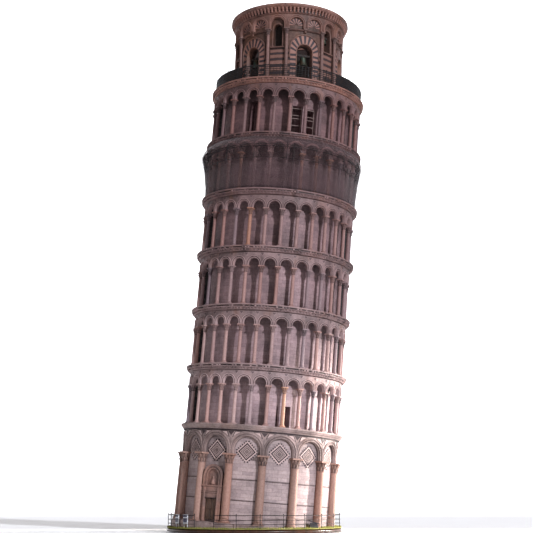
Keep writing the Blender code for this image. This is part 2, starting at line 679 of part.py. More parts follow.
base_plate()
lawn_mat()
perimeter_fence()
info_board("info_board_left", math.radians(-62))
info_board("info_board_right", math.radians(-51))
lectern()
plinth(TOWER)
ground_wall(TOWER)
ground_arcade(TOWER)
portal_surround(TOWER)
door_leaf("door_leaf_left", TOWER, -1)
door_leaf("door_leaf_right", TOWER, 1)
galleries(TOWER)
scaffold_net(TOWER)
scaffold_frame(TOWER)
terrace_railing(TOWER)
belfry_plinth(TOWER)
belfry_wall(BELFRY)
belfry_arcade(BELFRY)
belfry_cornice(BELFRY)
bells(BELFRY)
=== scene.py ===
"""Looks for the leaning bell tower miniature: carved marble, a netted storey, ironwork, bells and a lawn.

Everything is worked out in metres of the full-size building, in the frame of the leaning shaft or of the
more upright belfry, and is then brought to the model's scale. Angles round the tower run from the front (-Y)
towards +X.
"""

import json
import math

import bpy
import numpy as np
from bpy.props import FloatProperty, FloatVectorProperty, IntProperty, PointerProperty
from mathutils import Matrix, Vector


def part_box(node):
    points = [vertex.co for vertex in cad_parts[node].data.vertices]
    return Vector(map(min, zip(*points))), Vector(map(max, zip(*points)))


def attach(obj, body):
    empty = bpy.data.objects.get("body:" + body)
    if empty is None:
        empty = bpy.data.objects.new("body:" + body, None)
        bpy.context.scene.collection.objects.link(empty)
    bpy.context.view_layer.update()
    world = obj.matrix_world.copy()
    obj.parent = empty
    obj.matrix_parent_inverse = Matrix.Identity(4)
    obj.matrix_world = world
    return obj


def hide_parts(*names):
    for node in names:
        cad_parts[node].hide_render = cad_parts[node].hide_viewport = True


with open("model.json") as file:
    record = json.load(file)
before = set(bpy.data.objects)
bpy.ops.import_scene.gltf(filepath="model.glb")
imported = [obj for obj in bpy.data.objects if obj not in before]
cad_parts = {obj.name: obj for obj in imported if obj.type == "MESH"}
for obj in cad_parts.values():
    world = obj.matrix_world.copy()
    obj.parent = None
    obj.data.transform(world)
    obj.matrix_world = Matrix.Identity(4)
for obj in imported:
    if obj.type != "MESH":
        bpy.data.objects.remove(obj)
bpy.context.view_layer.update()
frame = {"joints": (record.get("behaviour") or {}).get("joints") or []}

bl_info = {
    "name": "Leaning bell tower miniature",
    "version": (1, 0, 0),
    "blender": (4, 5, 0),
    "location": "3D View > Sidebar > Bell tower",
    "description": "Carves and finishes a leaning bell tower miniature round its packed frame",
    "category": "Object",
}

# ---- driving dimensions, in metres of the full-size building ----
SCALE = 1 / 160
STOREY, FIRST_FLOOR, SLAB = 6.05, 9.95, 0.6
GALLERIES, BAYS, GROUND_BAYS = 6, 30, 15
FIRST_COLUMN = math.radians(2.8)
WELL = 2.6
CORNICE_EDGE, TERRACE_EDGE = 8.5, 8.4
GROUND_WALL, GALLERY_WALL = 7.75, 6.95
GROUND_STEP = 2 * math.pi / GROUND_BAYS
BAY_STEP = 2 * math.pi / BAYS
DOOR_BAY = FIRST_COLUMN - 1.5 * GROUND_STEP
SMALL_BAY = math.radians(-13.5)
SIXTH = math.radians(60)
LARGE_BAY = SMALL_BAY + SIXTH / 2
UPPER_ARCHES = 18
TERRACE = FIRST_FLOOR + STOREY * GALLERIES
UNROLL_RADIUS = 8.0


# ---- frames of reference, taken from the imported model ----
def unit(vector):
    """The vector at length one."""
    vector = np.asarray(vector, float)
    return vector / np.linalg.norm(vector)


def joint(name):
    """The record's joint of that name."""
    return next(j for j in frame["joints"] if j["name"] == name)


def axes(origin, across, up):
    """A 4x4 matrix whose X lies near `across` and whose Z is `up`, with its origin in metres of the model."""
    up = unit(up)
    y = unit(np.cross(up, across))
    matrix = np.eye(4)
    matrix[:3, :3] = np.stack([np.cross(y, up), y, up], 1)
    matrix[:3, 3] = origin
    return matrix


GROUND_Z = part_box("lawn_mat")[1][2]
SHAFT = axes((0, 0, GROUND_Z), (1, 0, 0), joint("door_left_hinge")["axis"])
BELFRY_UP = np.cross(joint("bell_1_swing")["axis"], joint("bell_2_swing")["axis"])
BELFRY = axes((SHAFT @ [0, 0, TERRACE * SCALE, 1])[:3], (1, 0, 0), BELFRY_UP)
LEVEL = axes((0, 0, 0), (1, 0, 0), (0, 0, 1))
LEAN = math.atan2(SHAFT[0, 2], SHAFT[2, 2])


def floor_height(number):
    """Height along the shaft of gallery floor 1 to 7. The seventh is the terrace."""
    return FIRST_FLOOR + STOREY * (number - 1)


def floor_frame(number):
    """The shaft's frame, moved up to gallery floor 1 to 7."""
    place = SHAFT.copy()
    place[:3, 3] = (SHAFT @ [0, 0, floor_height(number) * SCALE, 1])[:3]
    return place


# ---- shapes ----
def round_at(angle, radius, height):
    """Points at an angle round the tower, a distance from its axis and a height, from numbers or arrays."""
    where = (radius * np.sin(angle), -radius * np.cos(angle), height)
    return np.stack(np.broadcast_arrays(*where), -1)


class Shape:
    """Points, faces and three marks for the finish: `ink` (inlay), `tint` (which marble), one for stains and
    painted shade.
    """

    MARKS = ("ink", "tint", "soot")

    def __init__(self, points, faces, marks=None):
        self.points = np.asarray(points, float).reshape(-1, 3)
        self.faces = faces
        self.marks = {}
        for name in self.MARKS:
            value = (marks or {}).get(name, 0.0)
            self.marks[name] = np.array(np.broadcast_to(value, len(self.points)), float)


def joined(*shapes):
    """The shapes side by side in one, each one's faces numbered after the points before it."""
    faces, start = [], 0
    for shape in shapes:
        faces += [f + start for f in shape.faces]
        start += len(shape.points)
    marks = {name: np.concatenate([s.marks[name] for s in shapes]) for name in Shape.MARKS}
    return Shape(np.concatenate([s.points for s in shapes]), faces, marks)


def volume(points, faces):
    """Signed volume: a sixth of the sum over fan triangles of the triple product of their corners."""
    total = 0.0
    for f in faces:
        for k in range(1, f.shape[1] - 1):
            a, b, c = points[f[:, 0]], points[f[:, k]], points[f[:, k + 1]]
            total += np.einsum("ij,ij->", a, np.cross(b, c))
    return total


def facing_out(shape):
    """The shape with its faces turned over if its volume comes out negative."""
    if volume(shape.points - shape.points.mean(0), shape.faces) < 0:
        shape.faces = [f[:, ::-1] for f in shape.faces]
    return shape


def loft(rings, closed=False, **marks):
    """A closed body through rings of points, given as (stations, points, 3) or (bodies, stations, points, 3).

    Each quad joins two neighbouring stations at two neighbouring points. Open paths get a cap at each end.
    """
    rings = np.asarray(rings, float)
    rings = rings.reshape((-1,) + rings.shape[-3:])
    bodies, stations, points = rings.shape[:3]
    here = np.arange(stations if closed else stations - 1)[:, None]
    ahead = (here + 1) % stations
    at = np.arange(points)[None]
    beside = (at + 1) % points
    corners = (here * points + at, here * points + beside, ahead * points + beside, ahead * points + at)
    quads = np.stack(np.broadcast_arrays(*corners), -1).reshape(-1, 4)
    faces = [quads]
    if not closed:
        faces.append(np.concatenate([at[:, ::-1], (stations - 1) * points + at]))
    start = (np.arange(bodies) * stations * points)[:, None, None]
    faces = [(start + f[None]).reshape(-1, f.shape[1]) for f in faces]
    spread = {}
    for name, value in marks.items():
        value = np.asarray(value, float)
        if value.ndim == 1 and len(value) == bodies:
            value = value[:, None, None]
        spread[name] = np.broadcast_to(value, rings.shape[:3]).reshape(-1)
    return facing_out(Shape(rings, faces, spread))


def moved(shape, by):
    """The shape, shifted."""
    shape.points = shape.points + np.asarray(by, float)
    return shape


def turned_by(points, angle):
    """Points turned about Z by an angle, or by an array of them, which adds a leading axis."""
    angle = np.asarray(angle, float)[..., None]
    x, y, z = points[:, 0], points[:, 1], points[:, 2]
    turned = (x * np.cos(angle) - y * np.sin(angle), x * np.sin(angle) + y * np.cos(angle), z + 0 * angle)
    return np.stack(turned, -1)


def around(shape, angles, **marks):
    """A copy of the shape at each angle round the tower. A mark given as an array has one value per copy."""
    angles = np.asarray(angles, float)
    count = len(shape.points)
    start = (np.arange(len(angles)) * count)[:, None, None]
    faces = [(start + f[None]).reshape(-1, f.shape[1]) for f in shape.faces]
    spread = {name: np.tile(value, len(angles)) for name, value in shape.marks.items()}
    for name, value in marks.items():
        spread[name] = np.repeat(value, count)
    return Shape(turned_by(shape.points, angles), faces, spread)


def bent(shape, radius, angle=0.0):
    """A flat piece wrapped round the tower: x is measured along the arc at `radius`, y from the axis."""
    x, y, z = shape.points.T
    turn = angle + x / radius
    shape.points = np.stack([y * np.sin(turn), -y * np.cos(turn), z], 1)
    return shape


def revolved(profile, steps=180, **marks):
    """A ring round the axis: a closed loop of (radius, height) points carried through a whole turn."""
    profile = np.asarray(profile, float)
    turn = np.linspace(0, 2 * math.pi, steps, endpoint=False)[:, None]
    return loft(round_at(turn, profile[:, 0], profile[:, 1]), closed=True, **marks)


def spun(profile, sides=16, **marks):
    """An upright round body: a circle at each (radius, height) of the profile, from one end to the other."""
    profile = np.asarray(profile, float)
    turn = np.arange(sides) * 2 * math.pi / sides
    radius = profile[:, 0][:, None] + 0 * turn[None]
    height = profile[:, 1][:, None] + 0 * turn[None]
    return loft(np.stack([radius * np.cos(turn), radius * np.sin(turn), height], -1), **marks)


def block(size, centre, chamfer=0.0, **marks):
    """A box with chamfered upright edges, its eight or four corners carried from its bottom to its top."""
    (a, b, c), cut = np.asarray(size, float) / 2, chamfer
    if cut:
        right = [(a, cut - b), (a, b - cut), (a - cut, b), (cut - a, b)]
        outline = right + [(-x, -y) for x, y in right]
    else:
        outline = [(a, -b), (a, b), (-a, b), (-a, -b)]
    outline = np.asarray(outline)
    rings = np.stack([np.column_stack([outline, np.full(len(outline), z)]) for z in (-c, c)])
    return moved(loft(rings, **marks), centre)


def arch_run(centre, foot, steps, corner=None):
    """Stations along a stilted arch: the direction across and up from its centre, and the base height.

    A stilted arch rises straight from its foot to its centre, follows a half circle and comes down again. An
    angle at `corner` and its mirror image become stations too, so that a rectangle round the arch keeps its
    corners.
    """
    turn = np.linspace(math.pi, 0, steps + 1)
    if corner:
        turn = np.sort(np.unique(np.concatenate([turn, [corner, math.pi - corner]])))[::-1]
    across = np.concatenate([[-1.0], np.cos(turn), [1.0]])
    up = np.concatenate([[0.0], np.sin(turn), [0.0]])
    base = np.concatenate([[foot], np.full(len(turn), centre), [foot]])
    return across, up, base


def roll_section(near, far, back, low, high, cut):
    """A roll's section from `near` to `far` of an arch's centre: a face at `high`, cut back to `low`."""
    return [(near, back), (near, low), (near + cut, high), (far - cut, high), (far, low), (far, back)]


def arch_moulding(section, centre, foot, steps=16, **marks):
    """A section of (distance from the arch's centre, distance from the axis) carried along a stilted arch."""
    across, up, base = arch_run(centre, foot, steps)
    reach, depth = np.asarray(section, float).T
    x = reach[None] * across[:, None]
    z = base[:, None] + reach[None] * up[:, None]
    return loft(np.stack([x, depth[None] + 0 * x, z], -1), **marks)


def between(inner, outer, near, far, splits=1, closed=False, **marks):
    """A wall between two outlines of (across, up) points that match one to one, from `near` to `far`.

    Each station is a loop: out along the front in equal steps, and back along the rear.
    """
    inner, outer = np.asarray(inner, float), np.asarray(outer, float)
    share = np.linspace(0, 1, splits + 1)[None, :, None]
    front = inner[:, None] * (1 - share) + outer[:, None] * share
    flat = np.concatenate([front, front[:, ::-1]], 1)
    depth = np.concatenate([np.full(splits + 1, far), np.full(splits + 1, near)])
    rings = np.stack([flat[..., 0], depth[None] + 0 * flat[..., 0], flat[..., 1]], -1)
    return loft(rings, closed=closed, **marks)


def arch_outlines(half_width, top, radius, centre, foot, steps=16):
    """Matching outlines of a stilted arch and of the rectangle round it, joined by rays from its centre."""
    corner = math.atan2(top - centre, half_width)
    across, up, base = arch_run(centre, foot, steps, corner)
    reach = np.minimum(half_width / np.maximum(abs(across), 1e-9), (top - centre) / np.maximum(up, 1e-9))
    inner = np.stack([radius * across, base + radius * up], 1)
    outer = np.stack([reach * across, base + reach * up], 1)
    return inner, outer


def opening_wall(half_width, bottom, top, opening, sill, centre, near, far, steps=16, splits=4, **marks):
    """A wall panel with a round-headed opening: its outlines run over the arch and back along the sill."""
    inner, outer = arch_outlines(half_width, top, opening, centre, centre, steps)
    back = np.linspace(1, -1, 9)
    inner = np.concatenate([inner, np.stack([opening * back, np.full(9, sill)], 1)])
    outer = np.concatenate([outer, np.stack([half_width * back, np.full(9, bottom)], 1)])
    return between(inner, outer, near, far, splits, closed=True, **marks)


def drum(outer, inner, bottom, top, pockets=(), steps=180, dirt_and_shade=None):
    """A hollow drum. Each pocket is (angle, half angle, low, high, back radius), sunk into its outer face.

    The last argument is (low, high, amount): painted shade, none up to the low level and full from the high
    one.
    """
    turns = np.linspace(0, 2 * math.pi, steps, endpoint=False)
    levels = {bottom, top}
    if dirt_and_shade:
        levels |= {dirt_and_shade[0], dirt_and_shade[1]}
    for angle, half, low, high, _ in pockets:
        edges = np.mod([angle - half, angle + half], 2 * math.pi)
        inside = abs(np.mod(turns - angle + math.pi, 2 * math.pi) - math.pi) < half + 0.01
        turns = np.concatenate([turns[~inside], edges])
        levels |= {low, high}
    turns, levels = np.sort(turns), np.sort(list(levels))
    columns, rows = len(turns), len(levels)
    outside = round_at(turns[:, None], outer, levels)
    inside = np.stack([round_at(turns, inner, z) for z in (top, bottom)], 1)
    points = np.concatenate([outside.reshape(-1, 3), inside.reshape(-1, 3)])
    i, j = np.meshgrid(np.arange(columns), np.arange(rows - 1), indexing="ij")
    nxt = (i + 1) % columns
    quads = np.stack([i * rows + j, nxt * rows + j, nxt * rows + j + 1, i * rows + j + 1], -1)
    keep = np.ones(i.shape, bool)
    faces, extra = [], []
    for angle, half, low, high, back in pockets:
        a = int(np.argmin(abs(turns - np.mod(angle - half, 2 * math.pi))))
        b = int(np.argmin(abs(turns - np.mod(angle + half, 2 * math.pi))))
        j0, j1 = int(np.searchsorted(levels, low)), int(np.searchsorted(levels, high))
        keep[a, j0:j1] = False
        span = np.arange(j0, j1 + 1)
        rim = np.concatenate([a * rows + span, b * rows + span[::-1]])
        deep = points[rim] * [back / outer, back / outer, 1]
        base = len(points) + sum(len(e) for e in extra)
        extra.append(deep)
        n = len(rim)
        k = np.arange(n)
        sides = np.stack([rim[k], rim[(k + 1) % n], base + (k + 1) % n, base + k], 1)
        faces += [sides[:, ::-1], base + k[None]]
    base = columns * rows
    i = np.arange(columns)
    nxt = (i + 1) % columns
    faces.append(quads[keep])
    faces.append(np.stack([i * rows + rows - 1, nxt * rows + rows - 1, base + 2 * nxt, base + 2 * i], 1))
    faces.append(np.stack([base + 2 * i, base + 2 * nxt, base + 2 * nxt + 1, base + 2 * i + 1], 1))
    faces.append(np.stack([base + 2 * i + 1, base + 2 * nxt + 1, nxt * rows, i * rows], 1))
    points = np.concatenate([points, *extra])
    # Painted shade, darker towards the top of the wall.
    soot = dirt_and_shade[2] * np.clip((points[:, 2] - dirt_and_shade[0]) / (dirt_and_shade[1] - dirt_and_shade[0]), 0, 1) if dirt_and_shade else 0.0
    return facing_out(Shape(points, faces, {"soot": soot}))


# ---- putting a shape into the scene ----
def unrolled(points, faces):
    """(distance round the tower, height) at each face corner in building metres, whole across the seam."""
    angle = np.arctan2(points[:, 0], -points[:, 1])
    corners = []
    for f in faces:
        at = angle[f]
        at = at[:, :1] + np.mod(at - at[:, :1] + math.pi, 2 * math.pi) - math.pi
        corners.append(np.stack([at * UNROLL_RADIUS, points[f][..., 2]], -1).reshape(-1, 2))
    return np.concatenate(corners)


def piece(name, shape, finish, body="tower", place=SHAFT, stands_for=(), smooth=38):
    """A finished object at the origin, its points brought from building metres in `place` to the model."""
    points = shape.points * SCALE @ place[:3, :3].T + place[:3, 3]
    mesh = bpy.data.meshes.new(name)
    totals = np.concatenate([np.full(len(f), f.shape[1]) for f in shape.faces])
    corners = np.concatenate([f.reshape(-1) for f in shape.faces])
    mesh.vertices.add(len(points))
    mesh.vertices.foreach_set("co", points.reshape(-1))
    mesh.loops.add(len(corners))
    mesh.loops.foreach_set("vertex_index", corners)
    mesh.polygons.add(len(totals))
    mesh.polygons.foreach_set("loop_start", np.concatenate([[0], np.cumsum(totals)[:-1]]))
    mesh.polygons.foreach_set("loop_total", totals)
    mesh.update(calc_edges=True)
    chart = unrolled(shape.points, shape.faces)
    mesh.uv_layers.new(name="unrolled").data.foreach_set("uv", chart.reshape(-1))
    for mark, value in shape.marks.items():
        mesh.attributes.new(mark, "FLOAT", "POINT").data.foreach_set("value", value)
    mesh.materials.append(finish)
    if smooth:
        mesh.shade_smooth()
        mesh.set_sharp_from_angle(angle=math.radians(smooth))
    made = bpy.data.objects.new(name, mesh)
    bpy.context.scene.collection.objects.link(made)
    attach(made, body)
    if stands_for:
        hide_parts(*stands_for)
    return made


# ---- finishes ----
def shade(red, green, blue):
    """A display colour of 0 to 255 as the linear colour that shaders use."""
    value = np.array([red, green, blue]) / 255
    linear = np.where(value <= 0.04045, value / 12.92, ((value + 0.055) / 1.055) ** 2.4)
    return (*(float(c) for c in linear), 1.0)


class Finish:
    """A material made of nodes that are added one by one, each wired to what came before it."""

    def __init__(self, name, roughness=0.6, metallic=0.0, **fixed):
        self.material = bpy.data.materials.new(name)
        self.material.use_nodes = True
        self.tree = self.material.node_tree
        self.shader = self.tree.nodes["Principled BSDF"]
        self.shader.inputs["Roughness"].default_value = roughness
        self.shader.inputs["Metallic"].default_value = metallic
        for socket, value in fixed.items():
            self.shader.inputs[socket.replace("_", " ")].default_value = value
        self.place = self.add("TexCoord").outputs["Object"]

    def add(self, kind, inputs=None, **settings):
        node = self.tree.nodes.new("ShaderNode" + kind)
        for setting, value in settings.items():
            setattr(node, setting, value)
        for socket, value in (inputs or {}).items():
            self.wire(node.inputs[socket], value)
        return node

    def wire(self, socket, value):
        if isinstance(value, bpy.types.NodeSocket):
            self.tree.links.new(value, socket)
        else:
            socket.default_value = value

    def mark(self, name):
        return self.add("Attribute", attribute_name=name).outputs["Fac"]

    def noise(self, size, detail=3.0, rough=0.55, stretch=None, source=None):
        """Noise with features of about `size` metres of the building, drawn out by `stretch`."""
        place = source or self.place
        if stretch:
            place = self.add("Mapping", {"Vector": place, "Scale": stretch}).outputs[0]
        inputs = {"Vector": place, "Scale": 1 / (size * SCALE), "Detail": detail, "Roughness": rough}
        if source is not None:
            inputs["Scale"] = 1 / size
        return self.add("TexNoise", inputs).outputs["Fac"]

    def ramp(self, value, low, high, start=0.0, end=1.0):
        """The value's stretch from `low` to `high`, mapped to `start` to `end` and held there outside it."""
        inputs = {"Value": value, "From Min": low, "From Max": high, "To Min": start, "To Max": end}
        return self.add("MapRange", inputs).outputs[0]

    def maths(self, operation, a, b):
        return self.add("Math", {0: a, 1: b}, operation=operation).outputs[0]

    def mix(self, share, a, b, blend="MIX"):
        inputs = {0: share, 6: a, 7: b}
        return self.add("Mix", inputs, data_type="RGBA", blend_type=blend).outputs[2]

    def colours(self, value, stops):
        """A ramp through several colours, given as (place, colour) pairs."""
        ramp = self.add("ValToRGB", {"Fac": value})
        elements = ramp.color_ramp.elements
        while len(elements) < len(stops):
            elements.new(0.5)
        for element, (place, colour) in zip(elements, stops):
            element.position = place
            element.color = colour
        return ramp.outputs["Color"]

    def bump(self, height, strength, depth=0.02):
        """Bump from a height, `depth` metres of the building deep at full strength."""
        node = self.add("Bump", {"Height": height, "Strength": strength, "Distance": depth * SCALE})
        self.wire(self.shader.inputs["Normal"], node.outputs[0])

    def done(self, colour=None, **sockets):
        if colour is not None:
            self.wire(self.shader.inputs["Base Color"], colour)
        for socket, value in sockets.items():
            self.wire(self.shader.inputs[socket.replace("_", " ")], value)
        return self.material


def marble(name, pale, deep, ink, courses=True, dirt_and_shade=0.5, shafts=None, rust=0.0):
    """Weathered marble: blocks of two tones in courses, cloudy veins, streaks, stains, painted shade in
    hollows and dark inlay.

    With `shafts`, a list of (place, colour), each column's own tint picks its marble from the list instead.
    """
    finish = Finish(name, roughness=0.62, Specular_IOR_Level=0.35)
    light = tuple(min(1.0, 1.6 * c) for c in pale[:3]) + (1.0,)
    cloud = finish.noise(2.6, 5, 0.6)
    grain = finish.noise(0.18, 4, 0.65)
    streak = finish.noise(1.0, 4, 0.6, stretch=(1, 1, 0.16))
    if shafts:
        base = finish.colours(finish.mark("tint"), shafts)
    else:
        base = finish.mix(finish.ramp(cloud, 0.35, 0.68), pale, deep)
    height = grain
    if courses:
        unroll = finish.add("UVMap", uv_map="unrolled").outputs[0]
        bricks = finish.add(
            "TexBrick",
            {
                "Vector": unroll,
                "Color1": (1, 1, 1, 1),
                "Color2": (0.66, 0.65, 0.68, 1),
                "Mortar": (0.38, 0.33, 0.33, 1),
                "Scale": 1.0,
                "Mortar Size": 0.012,
                "Mortar Smooth": 0.3,
                "Bias": 0.1,
                "Brick Width": 1.05,
                "Row Height": 0.36,
            },
        )
        base = finish.mix(0.75, base, bricks.outputs["Color"], "MULTIPLY")
        height = finish.maths("SUBTRACT", grain, bricks.outputs["Fac"])
    base = finish.mix(finish.ramp(streak, 0.5, 0.74, 0.0, dirt_and_shade), base, deep, "MULTIPLY")
    if rust:
        warm = finish.noise(1.7, 3, 0.6, stretch=(1, 1, 0.5))
        base = finish.mix(finish.ramp(warm, 0.52, 0.7, 0.0, rust), base, shade(150, 96, 62))
    base = finish.mix(finish.ramp(grain, 0.3, 0.75, 0.0, 0.35), base, deep, "MULTIPLY")
    base = finish.mix(finish.mark("ink"), base, ink)
    base = finish.mix(finish.ramp(finish.mark("ink"), 0.0, -1.0), base, light)
    # Stains, and painted shade in hollows, grooves and crevices, darken the stone towards a near-black brown.
    grime_and_shade = finish.maths("MULTIPLY", finish.mark("soot"), finish.ramp(cloud, 0.3, 0.6, 0.45, 1.0))
    base = finish.mix(grime_and_shade, base, shade(38, 27, 28))
    finish.bump(height, 0.5, 0.03)
    rough = finish.ramp(grain, 0.3, 0.7, 0.52, 0.78)
    return finish.done(base, Roughness=rough)


FINISHES = {}


def tone(colour, factor=1.0):
    """A display colour of 0 to 1, made lighter or darker by a factor or by one factor for each channel."""
    return shade(*np.clip(np.array(colour) * factor * 255, 0, 255))


def make_finishes(colours):
    """All of the finishes, by name. The marble turns darker and browner with each storey: partly its own
    tone, partly painted shade.
    """
    made = FINISHES
    ink = tone(colours.inlay)
    wall, carved = colours.ground_wall, colours.ground_trim
    made["ground wall"] = marble("ground wall", tone(wall), tone(wall, 0.79), ink, dirt_and_shade=0.35)
    made["ground trim"] = marble(
        "ground trim", tone(carved), tone(carved, 0.72), ink, courses=False, rust=0.2
    )
    lowest, highest = np.array(colours.gallery_low), np.array(colours.gallery_high)
    for number in range(1, GALLERIES + 1):
        pale = lowest + (highest - lowest) * (number - 1) / (GALLERIES - 1)
        cool = pale * [1.15, 1.15, 1.17]
        made[f"gallery {number}"] = marble(f"gallery {number}", tone(cool), tone(cool, 0.76), ink, dirt_and_shade=0.4)
        made[f"trim {number}"] = marble(
            f"trim {number}", tone(pale, 0.98), tone(pale, 0.66), ink, courses=False, dirt_and_shade=0.6, rust=0.3
        )
        stops = [
            (0.0, tone(pale, [0.82, 0.85, 0.90])),
            (0.3, tone(pale, [1.05, 1.03, 1.01])),
            (0.55, tone(pale, [1.02, 0.93, 0.88])),
            (0.75, tone(pale, [0.90, 0.92, 0.95])),
            (0.95, tone(pale, [1.12, 0.99, 0.84])),
        ]
        made[f"shafts {number}"] = marble(
            f"shafts {number}", tone(pale, 1.12), tone(pale, 0.9), ink, courses=False, dirt_and_shade=0.3, shafts=stops
        )
    bare = [(0.0, 0.76), (0.4, 1.0), (0.7, 1.1), (1.0, [0.92, 0.78, 0.7])]
    for name, colour in (("ground", colours.ground_shafts), ("belfry", colours.belfry_shafts)):
        stops = [(place, tone(colour, factor)) for place, factor in bare]
        made["shafts " + name] = marble(
            "shafts " + name, tone(colour, 1.1), tone(colour, 0.8), ink, courses=False, dirt_and_shade=0.3, shafts=stops
        )
    made["portal"] = marble(
        "portal", tone(carved, [0.92, 0.80, 0.74]), tone(carved, 0.58), ink, courses=False, dirt_and_shade=0.6, rust=0.3
    )
    wall, carved = colours.belfry_wall, colours.belfry_trim
    made["belfry wall"] = marble("belfry wall", tone(wall), tone(wall, 0.72), ink, rust=0.2)
    made["belfry trim"] = marble(
        "belfry trim", tone(carved), tone(carved, 0.68), ink, courses=False, rust=0.3
    )
    made["crown trim"] = marble(
        "crown trim", tone(carved, 1.16), tone(carved, 0.8), ink, courses=False, rust=0.3
    )
    made["iron"] = iron(tone(colours.iron, 0.6))
    made["bronze"] = bronze(tone(colours.bronze), tone(colours.patina))
    made["door wood"] = wood("door wood", tone(colours.door), tone(colours.door, 0.54), 0.12)
    made["beam wood"] = wood("beam wood", shade(46, 33, 28), shade(22, 15, 14), 0.2, gloss=0.85)
    made["base wood"] = wood("base wood", tone(colours.base), tone(colours.base, 0.46), 0.9, gloss=0.3)
    made["turf"] = turf()
    made["net"] = netting(colours.net)
    made["board"] = painted("board", tone(colours.board), 0.4)
    made["bars"] = painted("bars", shade(144, 122, 116), 0.6)
    made["panel"] = painted("panel", shade(34, 31, 38), 0.6)
    made["notice"] = painted("notice", shade(66, 64, 92), 0.3)
    # Dark paint for the boards across the galleries' walks and behind the net, which stand in for shade.
    made["socket"] = painted("socket", shade(30, 26, 28), 0.8)


def iron(paint):
    """Dark paint with rust at random spots."""
    finish = Finish("iron", roughness=0.6, Specular_IOR_Level=0.3)
    spots = finish.noise(0.25, 4, 0.7)
    colour = finish.mix(finish.ramp(spots, 0.5, 0.7), paint, shade(52, 37, 32))
    finish.bump(spots, 0.4, 0.02)
    return finish.done(colour, Roughness=finish.ramp(spots, 0.3, 0.7, 0.4, 0.75))


def bronze(metal, patina_colour):
    """Brown bronze under a green patina that gathers in streaks."""
    finish = Finish("bronze", roughness=0.45, metallic=0.75)
    patina = finish.noise(0.35, 5, 0.65, stretch=(1, 1, 0.3))
    grain = finish.noise(0.05, 3, 0.6)
    colour = finish.mix(finish.ramp(patina, 0.42, 0.62), metal, patina_colour)
    finish.bump(grain, 0.3, 0.01)
    return finish.done(colour, Roughness=finish.ramp(patina, 0.4, 0.65, 0.34, 0.7))


def wood(name, pale, deep, size, gloss=0.55):
    """Long grain: noise drawn out along the boards, with fine pores."""
    finish = Finish(name, roughness=gloss)
    grain = finish.noise(size, 6, 0.65, stretch=(1, 1, 0.12))
    pores = finish.noise(size * 0.2, 3, 0.6, stretch=(1, 1, 0.08))
    colour = finish.mix(finish.ramp(grain, 0.35, 0.65), deep, pale)
    colour = finish.mix(finish.ramp(pores, 0.5, 0.8, 0.0, 0.5), colour, deep)
    finish.bump(grain, 0.5, 0.02)
    return finish.done(colour)


def turf():
    """Flock grass in yellow and olive greens, picked blade by blade and in patches."""
    finish = Finish("turf", roughness=0.9, Specular_IOR_Level=0.1)
    patch = finish.noise(1.6, 4, 0.6)
    stops = [
        (0.0, shade(112, 118, 58)),
        (0.4, shade(150, 150, 80)),
        (0.75, shade(184, 172, 106)),
        (1.0, shade(96, 108, 50)),
    ]
    colour = finish.colours(finish.mark("tint"), stops)
    colour = finish.mix(finish.ramp(patch, 0.4, 0.65, 0.0, 0.6), colour, shade(172, 166, 104))
    return finish.done(colour)


def netting(cloth):
    """Woven scaffold net: two crossed sets of threads, part see-through, with dust in broad vertical bands.

    The arches of the gallery behind are painted on it: pale rings, a painted highlight where their stone
    catches the light, and painted shade in the openings.
    """
    finish = Finish("net", roughness=0.85, Specular_IOR_Level=0.15, Sheen_Weight=0.2)
    unroll = finish.add("UVMap", uv_map="unrolled").outputs[0]
    wide = finish.noise(1.3, 4, 0.6, stretch=(1, 0.12, 1), source=unroll)
    soil = finish.noise(2.4, 4, 0.6)
    colour = finish.mix(finish.ramp(wide, 0.35, 0.65), tone(cloth, 0.86), tone(cloth, 1.14))
    colour = finish.mix(finish.ramp(soil, 0.45, 0.7, 0.0, 0.5), colour, tone(cloth, 0.75))
    colour = finish.mix(finish.mark("ink"), colour, shade(36, 28, 30))
    weave = []
    for direction in ("X", "Y"):
        thread = {"Vector": unroll, "Scale": 9.0, "Distortion": 0.6, "Detail": 1.0}
        weave.append(finish.add("TexWave", thread, bands_direction=direction).outputs["Fac"])
    threads = finish.maths("MAXIMUM", *weave)
    flat = finish.add("SeparateXYZ", {"Vector": unroll}).outputs
    half_bay = UNROLL_RADIUS * BAY_STEP / 2
    from_first = finish.maths("SUBTRACT", flat["X"], UNROLL_RADIUS * FIRST_COLUMN + half_bay)
    across = finish.add("Math", {0: from_first, 1: half_bay, 2: -half_bay}, operation="WRAP").outputs[0]
    over = finish.maths("MAXIMUM", finish.maths("SUBTRACT", flat["Y"], 4.3), 0.0)
    squares = [finish.maths("POWER", part, 2.0) for part in (across, over)]
    reach = finish.maths("SQRT", finish.maths("ADD", *squares), 0.0)
    off_ring = finish.maths("ABSOLUTE", finish.maths("SUBTRACT", reach, 0.72), 0.0)
    # Painted highlight on the arches' rings, and below it painted shade in their openings.
    ring = finish.ramp(off_ring, 0.07, 0.12, 0.7, 0.0)
    ring = finish.maths("MULTIPLY", ring, finish.ramp(flat["Y"], 3.9, 4.1))
    hole = finish.ramp(reach, 0.52, 0.64, 0.6, 0.0)
    hole = finish.maths("MULTIPLY", hole, finish.ramp(flat["Y"], 1.6, 4.0))
    colour = finish.mix(ring, colour, tone(cloth, [1.5, 1.45, 1.4]))
    colour = finish.mix(hole, colour, tone(cloth, 0.6))
    cover = finish.ramp(threads, 0.2, 0.9, 0.5, 0.84)
    cover = finish.maths("SUBTRACT", cover, finish.ramp(wide, 0.4, 0.7, 0.0, 0.15))
    cover = finish.maths("SUBTRACT", cover, finish.mark("tint"))
    finish.bump(threads, 0.4, 0.02)
    return finish.done(colour, Alpha=finish.maths("MAXIMUM", cover, finish.mark("ink")))


